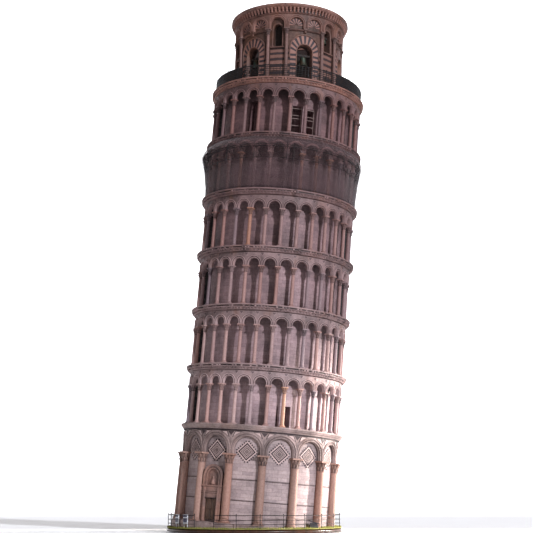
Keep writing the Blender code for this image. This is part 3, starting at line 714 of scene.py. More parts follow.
def painted(name, colour, roughness):
    """Plain paint with greyish wear and a roughness that follows it."""
    finish = Finish(name, roughness=roughness)
    wear = finish.noise(0.3, 4, 0.6)
    coat = finish.mix(finish.ramp(wear, 0.45, 0.75, 0.0, 0.35), colour, shade(120, 112, 108))
    finish.bump(wear, 0.15, 0.01)
    return finish.done(coat, Roughness=finish.ramp(wear, 0.4, 0.7, roughness, min(1.0, roughness + 0.2)))


# ---- columns, capitals and mouldings ----
def capital(bottom, top, neck, lip, sides=24, leaves=8, tiers=2):
    """A leafy capital: a bell that spreads from neck to lip, its radius rippled by leaves in offset tiers.

    The ripple is a cosine round the column for each tier, swelling towards the tier's top, where the leaf
    tips curl.
    """
    rows = 13
    share = np.linspace(0, 1, rows)
    radius = neck + (lip - neck) * share**1.7
    turn = np.arange(sides) * 2 * math.pi / sides
    phase = (share * tiers) % 1.0
    tier = np.floor(np.minimum(share * tiers, tiers - 0.01))
    wave = np.cos(leaves * turn[None] + math.pi * tier[:, None])
    swell = (0.04 + 0.2 * phase**1.5)[:, None] * wave
    r = radius[:, None] * (1 + swell)
    z = (bottom + (top - bottom) * share)[:, None] + 0 * r
    # Painted shade in the crevices between the leaves and low in each tier.
    soot = np.clip(0.95 - 1.1 * wave * (0.3 + phase[:, None]), 0, 1) * 0.95
    rings = np.stack([r * np.cos(turn), r * np.sin(turn), z], -1)
    return loft(rings, soot=soot)


def round_profile(points, steps=4):
    """Profile points joined by straight runs. A (radius, height, bulge) point starts a half-round roll."""
    made = []
    for here, ahead in zip(points, points[1:] + points[-1:]):
        made.append(here[:2])
        if len(here) == 3:
            swell = np.linspace(0, math.pi, steps + 2)[1:-1]
            along = (1 - np.cos(swell)) / 2
            for a, s in zip(along, swell):
                radius = here[0] + (ahead[0] - here[0]) * a + here[2] * math.sin(s)
                made.append((radius, here[1] + (ahead[1] - here[1]) * a))
    return made


def column(foot, top, radius, spread, capital_height, sides=20):
    """A column on its axis: square foot, rolls and hollow, tapering shaft, neck ring, capital and slab."""
    base = spread * 1.06
    slab = 0.32 * capital_height
    leaf_foot, leaf_top = top - capital_height, top - slab * 0.5
    low = foot + 0.1
    turned = round_profile(
        [
            (base * 0.86, low, 0.04),
            (base * 0.86, low + 0.09),
            (radius * 1.12, low + 0.11),
            (radius * 1.12, low + 0.15, 0.03),
            (radius * 1.12, low + 0.21),
            (radius, low + 0.25),
            (radius * 1.02, foot + (leaf_foot - foot) * 0.4),
            (radius * 0.95, foot + (leaf_foot - foot) * 0.75),
            (radius * 0.9, leaf_foot - 0.07),
            (radius * 0.96, leaf_foot - 0.06, 0.025),
            (radius * 0.96, leaf_foot),
            (radius * 0.88, leaf_foot + 0.01),
        ]
    )
    parts = [
        block((base * 2, base * 2, 0.1), (0, 0, foot + 0.05)),
        spun(turned, sides),
        capital(leaf_foot + 0.005, leaf_top, radius * 0.9, spread, sides=24),
        block((spread * 2.25, spread * 2.25, slab * 0.5), (0, 0, top - slab * 0.25), chamfer=0.03),
    ]
    return joined(*parts)


def sunk(shape, depth=0.07):
    """The part of a leaning piece below the lawn, brought up to just under its surface."""
    x, _, z = shape.points.T
    shape.points[:, 2] = np.maximum(z, x * math.tan(LEAN) - depth)
    return shape


# ---- the base ----
def build_base(sizes):
    """A turned plate, a disc of soil and blades of grass, each three corners and a leant tip."""
    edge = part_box("base_plate")[1][0] / SCALE
    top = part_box("base_plate")[1][2] / SCALE
    profile = round_profile(
        [
            (0.05, 0.0),
            (edge - 0.06, 0.0),
            (edge - 0.01, 0.05),
            (edge - 0.08, 0.13),
            (edge - 0.08, 0.16, 0.07),
            (edge - 0.08, top - 0.08),
            (edge - 0.16, top),
            (0.05, top),
        ]
    )
    piece("base_plate_turned", spun(profile, 160), FINISHES["base wood"], place=LEVEL,
          stands_for=["base_plate"])
    low, high = (np.array(c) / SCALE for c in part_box("lawn_mat"))
    rim, underside, surface = high[0], low[2], high[2]
    soil = spun([(0.05, underside), (rim, underside), (rim, surface), (0.05, surface)], 160, tint=0.3)
    piece("lawn_soil", soil, FINISHES["turf"], place=LEVEL, stands_for=["lawn_mat"])
    rng = np.random.default_rng(7)
    count = sizes.blades
    turn = rng.uniform(0, 2 * math.pi, count)
    far = np.sqrt(rng.uniform(6.9**2, (rim - 0.04) ** 2, count))
    base = round_at(turn, far, surface - 0.01)
    tall = rng.uniform(0.35, 1.0, count) * sizes.blade_height
    spread = rng.uniform(0, 2 * math.pi, count)
    lean = rng.uniform(-0.06, 0.06, (count, 2))
    side = np.stack([np.cos(spread), np.sin(spread), 0 * spread], 1) * 0.018
    front = np.stack([-np.sin(spread), np.cos(spread), 0 * spread], 1) * 0.012
    tip = base + np.column_stack([lean, tall])
    corners = np.stack([base - side, base + side, base + front], 1)
    points = np.concatenate([corners, tip[:, None]], 1)
    start = (np.arange(count) * 4)[:, None, None]
    faces = np.array([[0, 1, 3], [1, 2, 3], [2, 0, 3], [0, 2, 1]])
    marks = {"tint": np.repeat(rng.uniform(0, 1, count), 4)}
    blades = Shape(points, [(start + faces[None]).reshape(-1, 3)], marks)
    piece("lawn_blades", blades, FINISHES["turf"], place=LEVEL, smooth=0)


def tube_between(points, radius, sides=8, closed=False):
    """Round bar through the points: a circle across the run at each one, set by Z, or by X if upright."""
    points = np.asarray(points, float)
    ahead = np.roll(points, -1, 0) if closed else np.vstack([points[1:], 2 * points[-1] - points[-2]])
    behind = np.roll(points, 1, 0) if closed else np.vstack([2 * points[0] - points[1], points[:-1]])
    along = ahead - behind
    along /= np.linalg.norm(along, axis=1)[:, None]
    guide = np.where(abs(along[:, 2:3]) > 0.9, [[1.0, 0, 0]], [[0, 0, 1.0]])
    side = np.cross(along, guide)
    side /= np.linalg.norm(side, axis=1)[:, None]
    up = np.cross(side, along)
    turn = np.arange(sides) * 2 * math.pi / sides
    ring = side[:, None] * np.cos(turn)[None, :, None] + up[:, None] * np.sin(turn)[None, :, None]
    return loft(points[:, None] + radius * ring, closed=closed)


def build_fence(ground):
    """Posts round the base's edge, a handrail and two wires, with a gap in front of the door."""
    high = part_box("perimeter_fence")[1]
    radius, top = high[0] / SCALE - 0.06, high[2] / SCALE
    half = math.pi / 24
    angles = DOOR_BAY + half * (2 * np.arange(24) + 1)
    smooth = np.linspace(angles[0], angles[-1], 139)
    parts = [tube_between(round_at(smooth, radius, top - 0.1), 0.034)]
    parts += [tube_between(round_at(smooth, radius, ground + h), 0.022) for h in (0.4, 0.8)]
    post = joined(
        spun([(0.05, ground), (0.05, ground + 0.04), (0.034, ground + 0.06), (0.034, top - 0.06)], 8),
        spun([(0.02, top - 0.06), (0.05, top - 0.03), (0.05, top + 0.02), (0.015, top + 0.06)], 8),
    )
    parts.append(around(moved(post, (0, -radius, 0)), angles))
    piece("fence_ironwork", joined(*parts), FINISHES["iron"], place=LEVEL, stands_for=["perimeter_fence"])


def build_board(name, ground):
    """A blank notice board: a panel and its backing on two legs, with two dark plain blocks."""
    low, high = (np.array(c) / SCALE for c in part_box(name))
    middle = (low + high) / 2
    angle = math.atan2(middle[0], -middle[1])
    reach = math.hypot(middle[0], middle[1])
    top = high[2]
    leg = [(0.035, ground), (0.035, top - 0.1)]
    board = joined(
        block((0.75, 0.05, 0.9), (0, -reach - 0.02, top - 0.47), chamfer=0.015),
        block((0.8, 0.03, 0.95), (0, -reach + 0.02, top - 0.475), chamfer=0.01),
        *[moved(spun(leg, 10), (x, -reach + 0.05, 0)) for x in (-0.28, 0.28)],
    )
    piece(name + "_panel", around(board, [angle]), FINISHES["board"], place=LEVEL, stands_for=[name])
    notice = joined(
        block((0.66, 0.012, 0.2), (0, -reach - 0.05, top - 0.16)),
        block((0.62, 0.012, 0.42), (0, -reach - 0.05, top - 0.56), tint=1.0),
    )
    piece(name + "_notice", around(notice, [angle]), FINISHES["notice"], place=LEVEL)


def build_lectern(ground):
    """A reading desk: a stepped foot and a plate that slopes over it."""
    low, high = (np.array(c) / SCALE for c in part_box("lectern"))
    middle = (low + high) / 2
    turn = math.radians(43) * 0.4
    stand = joined(
        block((0.9, 0.3, 0.3), (0, 0, 0.15), chamfer=0.03),
        block((0.7, 0.22, 0.3), (0, 0, 0.4), chamfer=0.03),
    )
    slope = block((1.16, 0.4, 0.06), (0, 0, 0), chamfer=0.02)
    tilt, lift = 0.28, 0.6
    c, s = math.cos(tilt), math.sin(tilt)
    x, y, z = slope.points.T
    slope.points = np.stack([c * x + s * z, y, c * z - s * x + lift], 1)
    for suffix, shape, names in (("_stand", stand, ()), ("_top", slope, ["lectern"])):
        turned = Shape(turned_by(shape.points, turn), shape.faces, shape.marks)
        moved(turned, (middle[0], middle[1], ground))
        piece("lectern" + suffix, turned, FINISHES["panel"], place=LEVEL, stands_for=names)


# ---- the ground storey ----
def diamond_frame(outer, inner, face, height, ink):
    """A square ring stood on its corner: a flat band from its outer to its inner half diagonal."""
    turn = np.arange(4) * math.pi / 2
    rings = []
    for t in turn:
        rings.append(
            [
                (outer * math.cos(t), GROUND_WALL - 0.04, height + outer * math.sin(t)),
                (outer * math.cos(t), face, height + outer * math.sin(t)),
                (inner * math.cos(t), face, height + inner * math.sin(t)),
                (inner * math.cos(t), GROUND_WALL - 0.04, height + inner * math.sin(t)),
            ]
        )
    return loft(rings, closed=True, ink=ink)


def lozenge(height):
    """Nested diamonds of pale and dark marble inside a border of small dark teeth."""
    bands = [
        (1.03, 0.88, 0.05, -0.55),
        (0.88, 0.70, 0.02, 1.0),
        (0.70, 0.62, 0.035, -0.4),
        (0.62, 0.52, 0.02, 0.8),
        (0.52, 0.45, 0.035, -0.3),
        (0.45, 0.34, 0.02, 0.9),
        (0.34, 0.25, 0.03, -0.1),
        (0.25, 0.03, 0.02, 0.6),
    ]
    parts = []
    for outer, inner, rise, ink in bands:
        parts.append(diamond_frame(outer, inner, GROUND_WALL + rise, height, ink))
    along = (np.arange(6) + 0.5) / 6
    rings = []
    for side in range(4):
        a = np.array([math.cos(side * math.pi / 2), math.sin(side * math.pi / 2)])
        b = np.array([math.cos((side + 1) * math.pi / 2), math.sin((side + 1) * math.pi / 2)])
        normal, run = unit(a + b), unit(b - a)
        for share in along:
            foot = (a + (b - a) * share) * 1.05
            tip = foot + normal * 0.15
            corners = [foot - run * 0.075, foot + run * 0.075, tip + run * 0.04, tip - run * 0.04]
            depths = (GROUND_WALL - 0.03, GROUND_WALL + 0.035)
            rings.append([[(p[0], depth, height + p[1]) for p in corners] for depth in depths])
    parts.append(loft(np.array(rings), ink=1.0))
    return bent(joined(*parts), GROUND_WALL)


def spandrel_inlay(face):
    """The inlay over a column: a dark wedge between two slanting pale lozenges edged in dark."""

    def plate(corners, rise, ink):
        rings = [[(x, depth, z) for x, z in corners] for depth in (face - 0.03, face + rise)]
        return loft(rings, ink=ink)

    parts = [plate([(-0.34, 9.27), (0.34, 9.27), (0.0, 8.84)], 0.03, 0.9)]
    for side in (-1, 1):
        outer = [(side * 0.42, 9.27), (side * 1.18, 9.27), (side * 0.62, 8.97), (side * 0.13, 8.62)]
        middle = np.mean(outer, 0)
        inner = [tuple(middle + (np.array(p) - middle) * 0.7) for p in outer]
        parts += [plate(outer, 0.02, 0.9), plate(inner, 0.045, -0.5)]
    parts.append(plate([(-0.1, 8.5), (0.0, 8.72), (0.1, 8.5), (0.0, 7.9)], 0.03, 0.3))
    return bent(joined(*parts), face)


def build_ground_storey(sizes):
    """Steps, a coursed drum with the door's passage, blind arches carved bay by bay, inlay and columns."""
    top = FIRST_FLOOR - SLAB
    passage = (DOOR_BAY, 0.72 / GROUND_WALL, 0.5, 2.6, 4.6)
    wall = sunk(drum(GROUND_WALL, WELL, -1.0, top - 0.05, [passage], steps=150))
    piece("ground_wall_courses", wall, FINISHES["ground wall"], stands_for=["ground_wall"])
    strings = [
        revolved([(7.7, z - 0.05), (7.82, z - 0.05), (7.82, z + 0.04), (7.7, z + 0.04)], 180, ink=0.75)
        for z in (2.58, 4.59)
    ]
    piece("ground_string_courses", joined(*strings), FINISHES["ground trim"])
    step = round_profile(
        [(7.8, -1.0), (8.58, -1.0), (8.58, 0.12), (8.54, 0.16), (8.5, 0.18, 0.03), (8.5, 0.3), (7.8, 0.3)]
    )
    piece("plinth_steps", sunk(revolved(step, 180)), FINISHES["ground trim"], stands_for=["plinth"])

    half = math.pi / GROUND_BAYS
    radius, face = 8.05, 8.1
    width = half * radius
    centre, foot = 7.5, 7.05
    inner, outer = arch_outlines(width, top - 0.05, 1.34, centre, foot, 22)
    body = [between(inner, outer, GROUND_WALL - 0.03, face, splits=2)]
    inner_roll = [(1.26, 7.7), (1.26, 7.92), (1.30, 7.98), (1.35, 7.98), (1.37, 7.92), (1.37, 7.7)]
    double_roll = [(1.36, 7.9), (1.36, 8.12), (1.40, 8.16), (1.46, 8.16), (1.49, 8.11)]
    double_roll += [(1.52, 8.16), (1.56, 8.13), (1.57, 7.9)]
    outer_roll = [(1.56, 8.0), (1.56, 8.12), (1.6, 8.19), (1.65, 8.2), (1.69, 8.16), (1.69, 8.0)]
    # Painted shade in the hollows at the edges of each roll and in the double roll's valley.
    for roll in (inner_roll, double_roll, outer_roll):
        hollow = np.zeros(len(roll))
        hollow[[0, 1, -1]] = 0.85, 0.7, 0.6
        if roll is double_roll:
            hollow[4] = 0.8
        body.append(arch_moulding(roll, centre, foot, 26, soot=hollow))
    rim = [(1.545, 8.1), (1.545, 8.135), (1.575, 8.135), (1.575, 8.1)]
    body.append(arch_moulding(rim, centre, foot, 26, ink=1.0))
    bay = bent(joined(*body), radius)
    middles = FIRST_COLUMN + (np.arange(GROUND_BAYS) + 0.5) * GROUND_STEP
    corners = FIRST_COLUMN + np.arange(GROUND_BAYS) * GROUND_STEP
    arcade = joined(around(bay, middles), around(spandrel_inlay(face), corners))
    piece("ground_arches", arcade, FINISHES["ground trim"], stands_for=["ground_arcade"])
    piece("ground_lozenges", around(lozenge(7.33), middles), FINISHES["ground trim"])
    shaft = moved(column(0.3, 7.05, sizes.ground_column, 0.52, 1.0, sides=28), (0, -8.02, 0))
    rng = np.random.default_rng(3)
    tint = rng.uniform(0.25, 1.0, GROUND_BAYS)
    shafts = sunk(around(shaft, corners, tint=tint))
    piece("ground_columns", shafts, FINISHES["shafts ground"])


def build_portal():
    """The door's surround: jambs, a moulded lintel, a hood arch and a niche with a plain rounded relief."""
    axis, back = 7.98, 7.8
    parts = []
    for side in (-1, 1):
        parts.append(block((0.42, 0.36, 3.6), (side * 0.93, axis, 2.15), chamfer=0.03))
        parts.append(block((0.16, 0.1, 3.3), (side * 0.8, 8.2, 2.0), chamfer=0.02))
    parts.append(block((2.3, 0.36, 0.5), (0, axis, 2.84), chamfer=0.02))
    # Dark grooves along the lintels: painted shadow under them.
    grooves = ((1.5, 8.165, 2.62), (2.36, 8.17, 3.07), (2.36, 8.16, 3.24), (2.4, 8.17, 3.7))
    for width, depth, height in grooves:
        parts.append(block((width, 0.03, 0.05), (0, depth, height), soot=0.9))
    parts.append(block((2.34, 0.4, 0.12), (0, 8.0, 3.15), chamfer=0.02))
    parts.append(block((2.2, 0.34, 0.55), (0, axis, 3.46), chamfer=0.02))
    parts.append(block((2.46, 0.46, 0.14), (0, 8.02, 3.8), chamfer=0.03))
    foot, centre = 3.87, 4.76
    across, up, base = arch_run(centre, foot, 20)
    inner_roll = roll_section(0.66, 0.84, back, 8.05, 8.1, 0.04)
    outer_roll = [(0.85, back), (0.85, 8.12), (0.98, 8.2), (1.1, 8.2), (1.14, 8.12), (1.14, back)]
    # Painted shade in the hollows beside both rolls and in the niche.
    parts.append(arch_moulding(inner_roll, centre, foot, 24, soot=np.array([0.9, 0.7, 0, 0, 0.6, 0.9])))
    parts.append(arch_moulding(outer_roll, centre, foot, 24, soot=np.array([0.9, 0.8, 0, 0, 0.3, 0.6])))
    outlines = [np.stack([r * across, base + r * up], 1) for r in (0.02, 0.68)]
    parts.append(between(*outlines, back, 7.9, splits=2, soot=0.35))
    relief = joined(
        spun([(0.17, 3.95), (0.2, 4.1), (0.15, 4.4), (0.1, 4.5)], 14),
        spun([(0.02, 4.5), (0.08, 4.54), (0.1, 4.62), (0.08, 4.7), (0.02, 4.74)], 14),
    )
    parts.append(moved(relief, (0, 7.94, 0)))
    surround = bent(joined(*parts), 8.0, DOOR_BAY)
    piece("portal_mouldings", surround, FINISHES["portal"], stands_for=["portal_surround"])


DOOR_TALL, DOOR_WIDE = 1.98, 0.565


def build_door_leaf(name, side):
    """One leaf on its pin: three planks, three ledges on each face, nail heads and a handle."""
    hinge = joint(name.replace("door_leaf", "door") + "_hinge")
    across = SHAFT[:3, :3] @ turned_by(np.array([[1.0, 0, 0]]), DOOR_BAY)[0]
    place = axes(hinge["pos_m"], across, hinge["axis"])
    tall, width, boards = DOOR_TALL, DOOR_WIDE, 3
    ledges = (-0.78, 0.0, 0.78)
    middles = [-side * width * (k + 0.5) / boards for k in range(boards)]
    parts = [block((width / boards - 0.012, 0.09, tall), (x, 0, 0), chamfer=0.012) for x in middles]
    for z in ledges:
        parts.append(block((width, 0.03, 0.14), (-side * width / 2, -0.055, z), chamfer=0.008))
        parts.append(block((width, 0.03, 0.12), (-side * width / 2, 0.055, z), chamfer=0.008))
    parts.append(spun([(0.05, -tall / 2 - 0.02), (0.05, tall / 2 + 0.02)], 12))
    piece(name + "_boards", joined(*parts), FINISHES["door wood"], body=name, place=place,
          stands_for=[name])
    stud = spun([(0.004, 0.0), (0.022, 0.004), (0.026, 0.012), (0.016, 0.02), (0.003, 0.026)], 8)
    flat = stud.points[:, [0, 2, 1]] * [1, -1, 1]
    heads = [Shape(flat + (x, -0.07, z), stud.faces, stud.marks) for x in middles for z in ledges]
    grip = [(-side * 0.5, y, z) for y, z in ((-0.08, -0.1), (-0.12, -0.06), (-0.12, 0.06), (-0.08, 0.1))]
    ironwork = joined(facing_out(joined(*heads)), tube_between(grip, 0.012))
    piece(name + "_ironwork", ironwork, FINISHES["iron"], body=name, place=place)


# ---- galleries ----
GALLERY_DOORS = (19.6, 135, 165, 195, 225)


def gallery_bay():
    """One bay's arch, flat and then bent: the spandrel wall, an inner roll, a groove in painted shade and a
    hood roll.
    """
    radius = 7.98
    half = radius * math.pi / BAYS
    top, centre, foot = STOREY - SLAB - 0.04, 4.22, 4.02
    inner, outer = arch_outlines(half, top, 0.61, centre, foot, 14)
    parts = [between(inner, outer, 7.76, 8.03)]
    # Each roll: near, far, back, face, ink and painted shade, which only the middle groove has.
    rolls = (
        (0.575, 0.67, 7.74, 8.09, -0.25, 0.0),
        (0.65, 0.755, 7.98, 8.045, 0.0, 0.95),
        (0.745, 0.815, 7.98, 8.11, -0.45, 0.0),
    )
    for near, far, back, face, ink, soot in rolls:
        section = roll_section(near, far, back, face - 0.04, face, (far - near) / 4)
        parts.append(arch_moulding(section, centre, foot, 16, ink=ink, soot=soot))
    for side in (-1, 1):
        for size, rise, ink in ((0.3, 0.012, -0.2), (0.19, 0.025, 0.6)):
            high = 5.37 - (0.3 - size) * 0.45
            edge = side * (half - 0.012)
            wedge = [(edge, high), (side * (half - size), high), (edge, high - size * 1.25)]
            rings = [[(x, depth, z) for x, z in wedge] for depth in (8.0, 8.03 + rise)]
            parts.append(loft(rings, ink=ink))
    return bent(joined(*parts), radius)


def weathering(count, seed, rough=1.0):
    """A value of 0 to 1 for each of `count` places round the tower: three uneven sines and some grain."""
    rng = np.random.default_rng(seed)
    turn = np.arange(count) * 2 * math.pi / count
    waves = sum(np.sin(k * turn + rng.uniform(0, 6)) for k in (11, 17, 29)) / 3
    return np.clip(0.5 + 0.5 * waves + rough * rng.uniform(-0.4, 0.4, count), 0, 1)


def cornice(edge, number):
    """A gallery floor and its cornice: a fascia, worn blocks in a hollow of painted shade, a roll and a row
    of leaves.
    """
    profile = round_profile(
        [
            (WELL, 0.0),
            (edge - 0.02, 0.0),
            (edge, -0.02),
            (edge, -0.11),
            (edge - 0.03, -0.13),
            (edge - 0.13, -0.14),
            (edge - 0.13, -0.27),
            (edge - 0.06, -0.28, 0.03),
            (edge - 0.06, -0.34),
            (edge - 0.18, -0.36),
            (edge - 0.27, -0.46),
            (edge - 0.28, -0.50),
            (edge - 0.25, -0.51, 0.025),
            (edge - 0.25, -0.56),
            (edge - 0.36, -0.58),
            (WELL, -0.58),
        ]
    )
    worn = weathering(210, number, 0.5)
    ring = revolved(profile, 210, ink=-0.25, soot=(np.clip(worn - 0.72, 0, 1) * 2.6)[:, None])
    # Painted shade in the hollow behind the blocks.
    hollow = revolved([(8.0, -0.141), (edge - 0.12, -0.141), (edge - 0.12, -0.269), (8.0, -0.269)], 180,
                      soot=0.97)
    turns = np.arange(170) * 2 * math.pi / 170
    kept = weathering(170, number + 40) < 0.56
    dentil = block((0.17, 0.11, 0.115), (0, 0.075 - edge, -0.205))
    bits = np.random.default_rng(number).uniform(-0.6, 0.5, kept.sum())
    parts = [ring, hollow, around(dentil, turns[kept], ink=bits)]
    leaf = block((0.14, 0.1, 0.13), (0, 0.2 - edge, -0.425), chamfer=0.03)
    turns = np.arange(150) * 2 * math.pi / 150
    parts.append(around(leaf, turns, soot=weathering(150, number + 80) ** 2 * 0.9, ink=-0.3 + 0 * turns))
    return joined(*parts)


def plain_cornice():
    """The first cornice: a deep plain fascia on a hollow, with a dark line under it."""
    edge = CORNICE_EDGE
    profile = round_profile(
        [
            (WELL, 0.0),
            (edge - 0.02, 0.0),
            (edge, -0.03),
            (edge, -0.09, 0.02),
            (edge, -0.17),
            (edge - 0.05, -0.19),
            (edge - 0.08, -0.27),
            (edge - 0.15, -0.35),
            (edge - 0.24, -0.41),
            (edge - 0.26, -0.45, 0.03),
            (edge - 0.26, -0.51),
            (edge - 0.33, -0.53),
            (edge - 0.33, -0.58),
            (WELL, -0.58),
        ]
    )
    line = revolved([(8.0, -0.6), (8.21, -0.6), (8.21, -0.54), (8.0, -0.54)], 180, ink=1.0)
    return joined(revolved(profile, 210), line)


STAIR_GRATINGS = (math.radians(9), math.radians(20.5))
# Columns beside which a dark board stands in for the shade of the walk.
SHADE_BOARD_CORNERS = [0, 7, 15, 22]
WARM_COLUMNS = {1: [1], 4: [28], 5: [27, 1, 2, 3]}


def gallery_pockets(number):
    """The doorways in a gallery's wall, as drum() takes them. The sixth has two stairs and a window."""
    if number == 6:
        stair, other = STAIR_GRATINGS
        shapes = ((stair, 0.62, 3.4, 5.7), (other, 0.5, 3.2, 5.7), (math.radians(-30), 0.5, 3.9, 6.0))
    else:
        door = math.radians(GALLERY_DOORS[number - 1])
        shapes = ((door, 0.44, 2.2, 5.7), (door - 0.135, 0.06, 2.1, 6.4))[: 2 if number == 1 else 1]
    return [(angle, half / GALLERY_WALL, 0.05, high, back) for angle, half, high, back in shapes]


def build_gallery(sizes, number):
    """A gallery's drum, dark boards across its walk that stand in for shade, the arches of its thirty bays
    and their columns.
    """
    place = floor_frame(number)
    clear = STOREY - SLAB
    # Painted shade on the wall's upper part under the arches, deepest in the sixth gallery.
    dirt_and_shade = (3.5, 4.3, 0.8 if number == 6 else 0.3)
    wall = drum(GALLERY_WALL, WELL, 0.01, clear - 0.01, gallery_pockets(number), steps=120, dirt_and_shade=dirt_and_shade)
    piece(f"gallery_{number}_drum", wall, FINISHES[f"gallery {number}"], place=place,
          stands_for=[f"gallery_wall_{number}"])
    corners = FIRST_COLUMN + np.arange(BAYS) * BAY_STEP
    middles = FIRST_COLUMN + (np.arange(BAYS) + 0.5) * BAY_STEP
    # Dark boards across the walk at four columns a quarter turn apart, put where the walk is in shade.
    shade_board = around(block((0.06, 0.8, clear - 0.1), (0, -7.32, clear / 2)), corners[SHADE_BOARD_CORNERS])
    piece(f"gallery_{number}_shade_boards", shade_board, FINISHES["socket"], place=place)
    if number == 6:
        heights = (0.5, 1.25, 2.0, 2.35, 3.1)
        bars = [block((1.05, 0.03, 0.04), (0, 0.02 - GALLERY_WALL, z)) for z in heights]
        bars += [block((0.035, 0.03, 3.3), (x, 0.03 - GALLERY_WALL, 1.7)) for x in (-0.5, 0.5)]
        gratings = around(joined(*bars), STAIR_GRATINGS)
        piece("gallery_6_bars", gratings, FINISHES["bars"], place=place)
    arches = around(gallery_bay(), middles)
    piece(f"gallery_{number}_arches", arches, FINISHES[f"trim {number}"], place=place,
          stands_for=[f"colonnade_{number}"])
    tint = np.random.default_rng(20 + number).uniform(0, 0.75, BAYS)
    tint[WARM_COLUMNS.get(number, [])] = 0.98
    one = moved(column(0.0, 4.02, sizes.gallery_column, 0.285, 0.72), (0, -7.88, 0))
    columns = around(one, corners, tint=tint)
    piece(f"gallery_{number}_columns", columns, FINISHES[f"shafts {number}"], place=place)


def build_cornices():
    """The seven floors: a plain one over the ground storey, five with leaves, and the terrace's."""
    for number in range(1, GALLERIES + 2):
        if number == 1:
            shape, name, finish = plain_cornice(), "cornice_1", "ground trim"
        elif number <= GALLERIES:
            shape, name, finish = cornice(CORNICE_EDGE, number), f"cornice_{number}", f"trim {number}"
        else:
            shape, name, finish = cornice(TERRACE_EDGE, number), "terrace_slab", "crown trim"
        piece(name + "_moulded", shape, FINISHES[finish], place=floor_frame(number), stands_for=[name])


# ---- the scaffold and its net ----
NETTED_GALLERY = 5
NET_FOOT, NET_TALL = 0.12, 5.4


def build_net(sizes):
    """The cloth: a tube whose radius is a curve of its height, plus these, all summed over the whole grid.

    It dips between the uprights by a cosine of the angle, deepest at half height. Its top is gathered by a
    fine cosine, and lower down it is creased by a sine of a sine. On one side the wind swells it, by a
    squared cosine of the angle from there.
    """
    place = floor_frame(NETTED_GALLERY)
    rows, columns = 46, 360
    share = np.linspace(0, 1, rows)[:, None]
    turn = FIRST_COLUMN + np.arange(columns)[None] * 2 * math.pi / columns
    height = NET_FOOT + NET_TALL * share
    knots_z = [0.12, 1.5, 3.0, 4.2, 4.75, 5.15, 5.52]
    knots_r = [8.2, 8.29, 8.44, 8.62, 8.66, 8.58, 8.36]
    radius = np.interp(height, knots_z, knots_r)
    lace = np.cos(GROUND_BAYS * (turn - FIRST_COLUMN))
    sag = sizes.net_sag * np.sin(math.pi * np.clip((height - 0.4) / 4.2, 0, 1)) * (lace - 1) / 2
    gather = np.clip((height - 4.7) / 0.8, 0, 1)
    rib = 0.035 * gather * np.cos(90 * turn)
    crease = 0.012 * np.sin(37 * turn + 2 * np.sin(5 * turn)) * (1 - gather)
    swell = np.interp(height, [1.8, 3.2, 4.6, 5.52], [0.0, 0.12, 0.33, 0.04])
    swell = swell * np.clip(np.cos(turn + math.radians(84)), 0, 1) ** 2
    points = round_at(turn, radius + sag + rib + crease + swell, height)
    i, j = np.meshgrid(np.arange(rows - 1), np.arange(columns), indexing="ij")
    low, high = i * columns, (i + 1) * columns
    nxt = (j + 1) % columns
    quads = np.stack([low + j, low + nxt, high + nxt, high + j], -1)
    from_seam = np.abs(np.mod(turn - FIRST_COLUMN + BAY_STEP / 2, GROUND_STEP) - BAY_STEP / 2)
    seam = (from_seam < 0.006) * 0.24
    hem = ((share < 0.03) | (share > 0.985)) * 0.7
    ink = np.clip(seam + hem, 0, 1)
    thin = 0.36 * np.clip((height - 2.6) / 0.5, 0, 1) * np.clip((5.0 - height) / 0.5, 0, 1) + 0 * turn
    net = Shape(points, [quads.reshape(-1, 4)], {"ink": ink.reshape(-1), "tint": thin.reshape(-1)})
    made = piece("scaffold_netting", net, FINISHES["net"], place=place, stands_for=["scaffold_net"])


def build_net_shade_boards():
    """Dark upright boards from the gallery's wall to the net, cut to its outline, wider where it swells:
    painted shade.
    """
    foot = [(6.95, 0.02), (8.1, 0.06), (8.18, 1.5)]
    straight = [*foot, (8.33, 3.0), (8.5, 4.2), (8.54, 4.75), (8.42, 5.1), (6.95, 5.1)]
    swelled = [*foot, (8.43, 3.0), (8.74, 4.2), (8.84, 4.75), (8.66, 5.15), (8.36, 5.42), (6.95, 5.42)]
    parts = []
    for outline, angles in ((straight, [83, 90.5, 187, 8]), (swelled, [-84, -87.5])):
        board = loft([[(x, -r, z) for r, z in outline] for x in (-0.03, 0.03)])
        parts.append(around(board, np.radians(angles)))
    piece("gallery_5_net_shade_boards", joined(*parts), FINISHES["socket"], place=floor_frame(NETTED_GALLERY))


def build_scaffold():
    """The tubes that hold the net out: three hoops, uprights, stubs to the wall, braces and planks."""
    radius = 8.34
    angles = FIRST_COLUMN + np.arange(GROUND_BAYS) * GROUND_STEP
    smooth = np.linspace(0, 2 * math.pi, 180, endpoint=False)
    hoops = ((radius, 4.7, 0.05), (radius, 5.05, 0.05), (8.3, 3.3, 0.035))
    parts = [tube_between(round_at(smooth, reach, z), thick, closed=True) for reach, z, thick in hoops]
    upright = moved(spun([(0.045, 3.1), (0.045, 5.2)], 8), (0, -radius, 0))
    stub = tube_between([(0, -radius, 4.3), (0, -8.15, 4.3)], 0.04)
    brace = tube_between([(0, -8.33, 4.7), (0.9, -8.28, 3.3)], 0.03)
    parts += [around(part, angles) for part in (upright, stub, brace)]
    parts.append(revolved([(8.2, 4.5), (8.46, 4.5), (8.46, 4.54), (8.2, 4.54)], 120))
    piece("scaffold_tubes", joined(*parts), FINISHES["iron"], place=floor_frame(NETTED_GALLERY),
          stands_for=["scaffold_frame"])


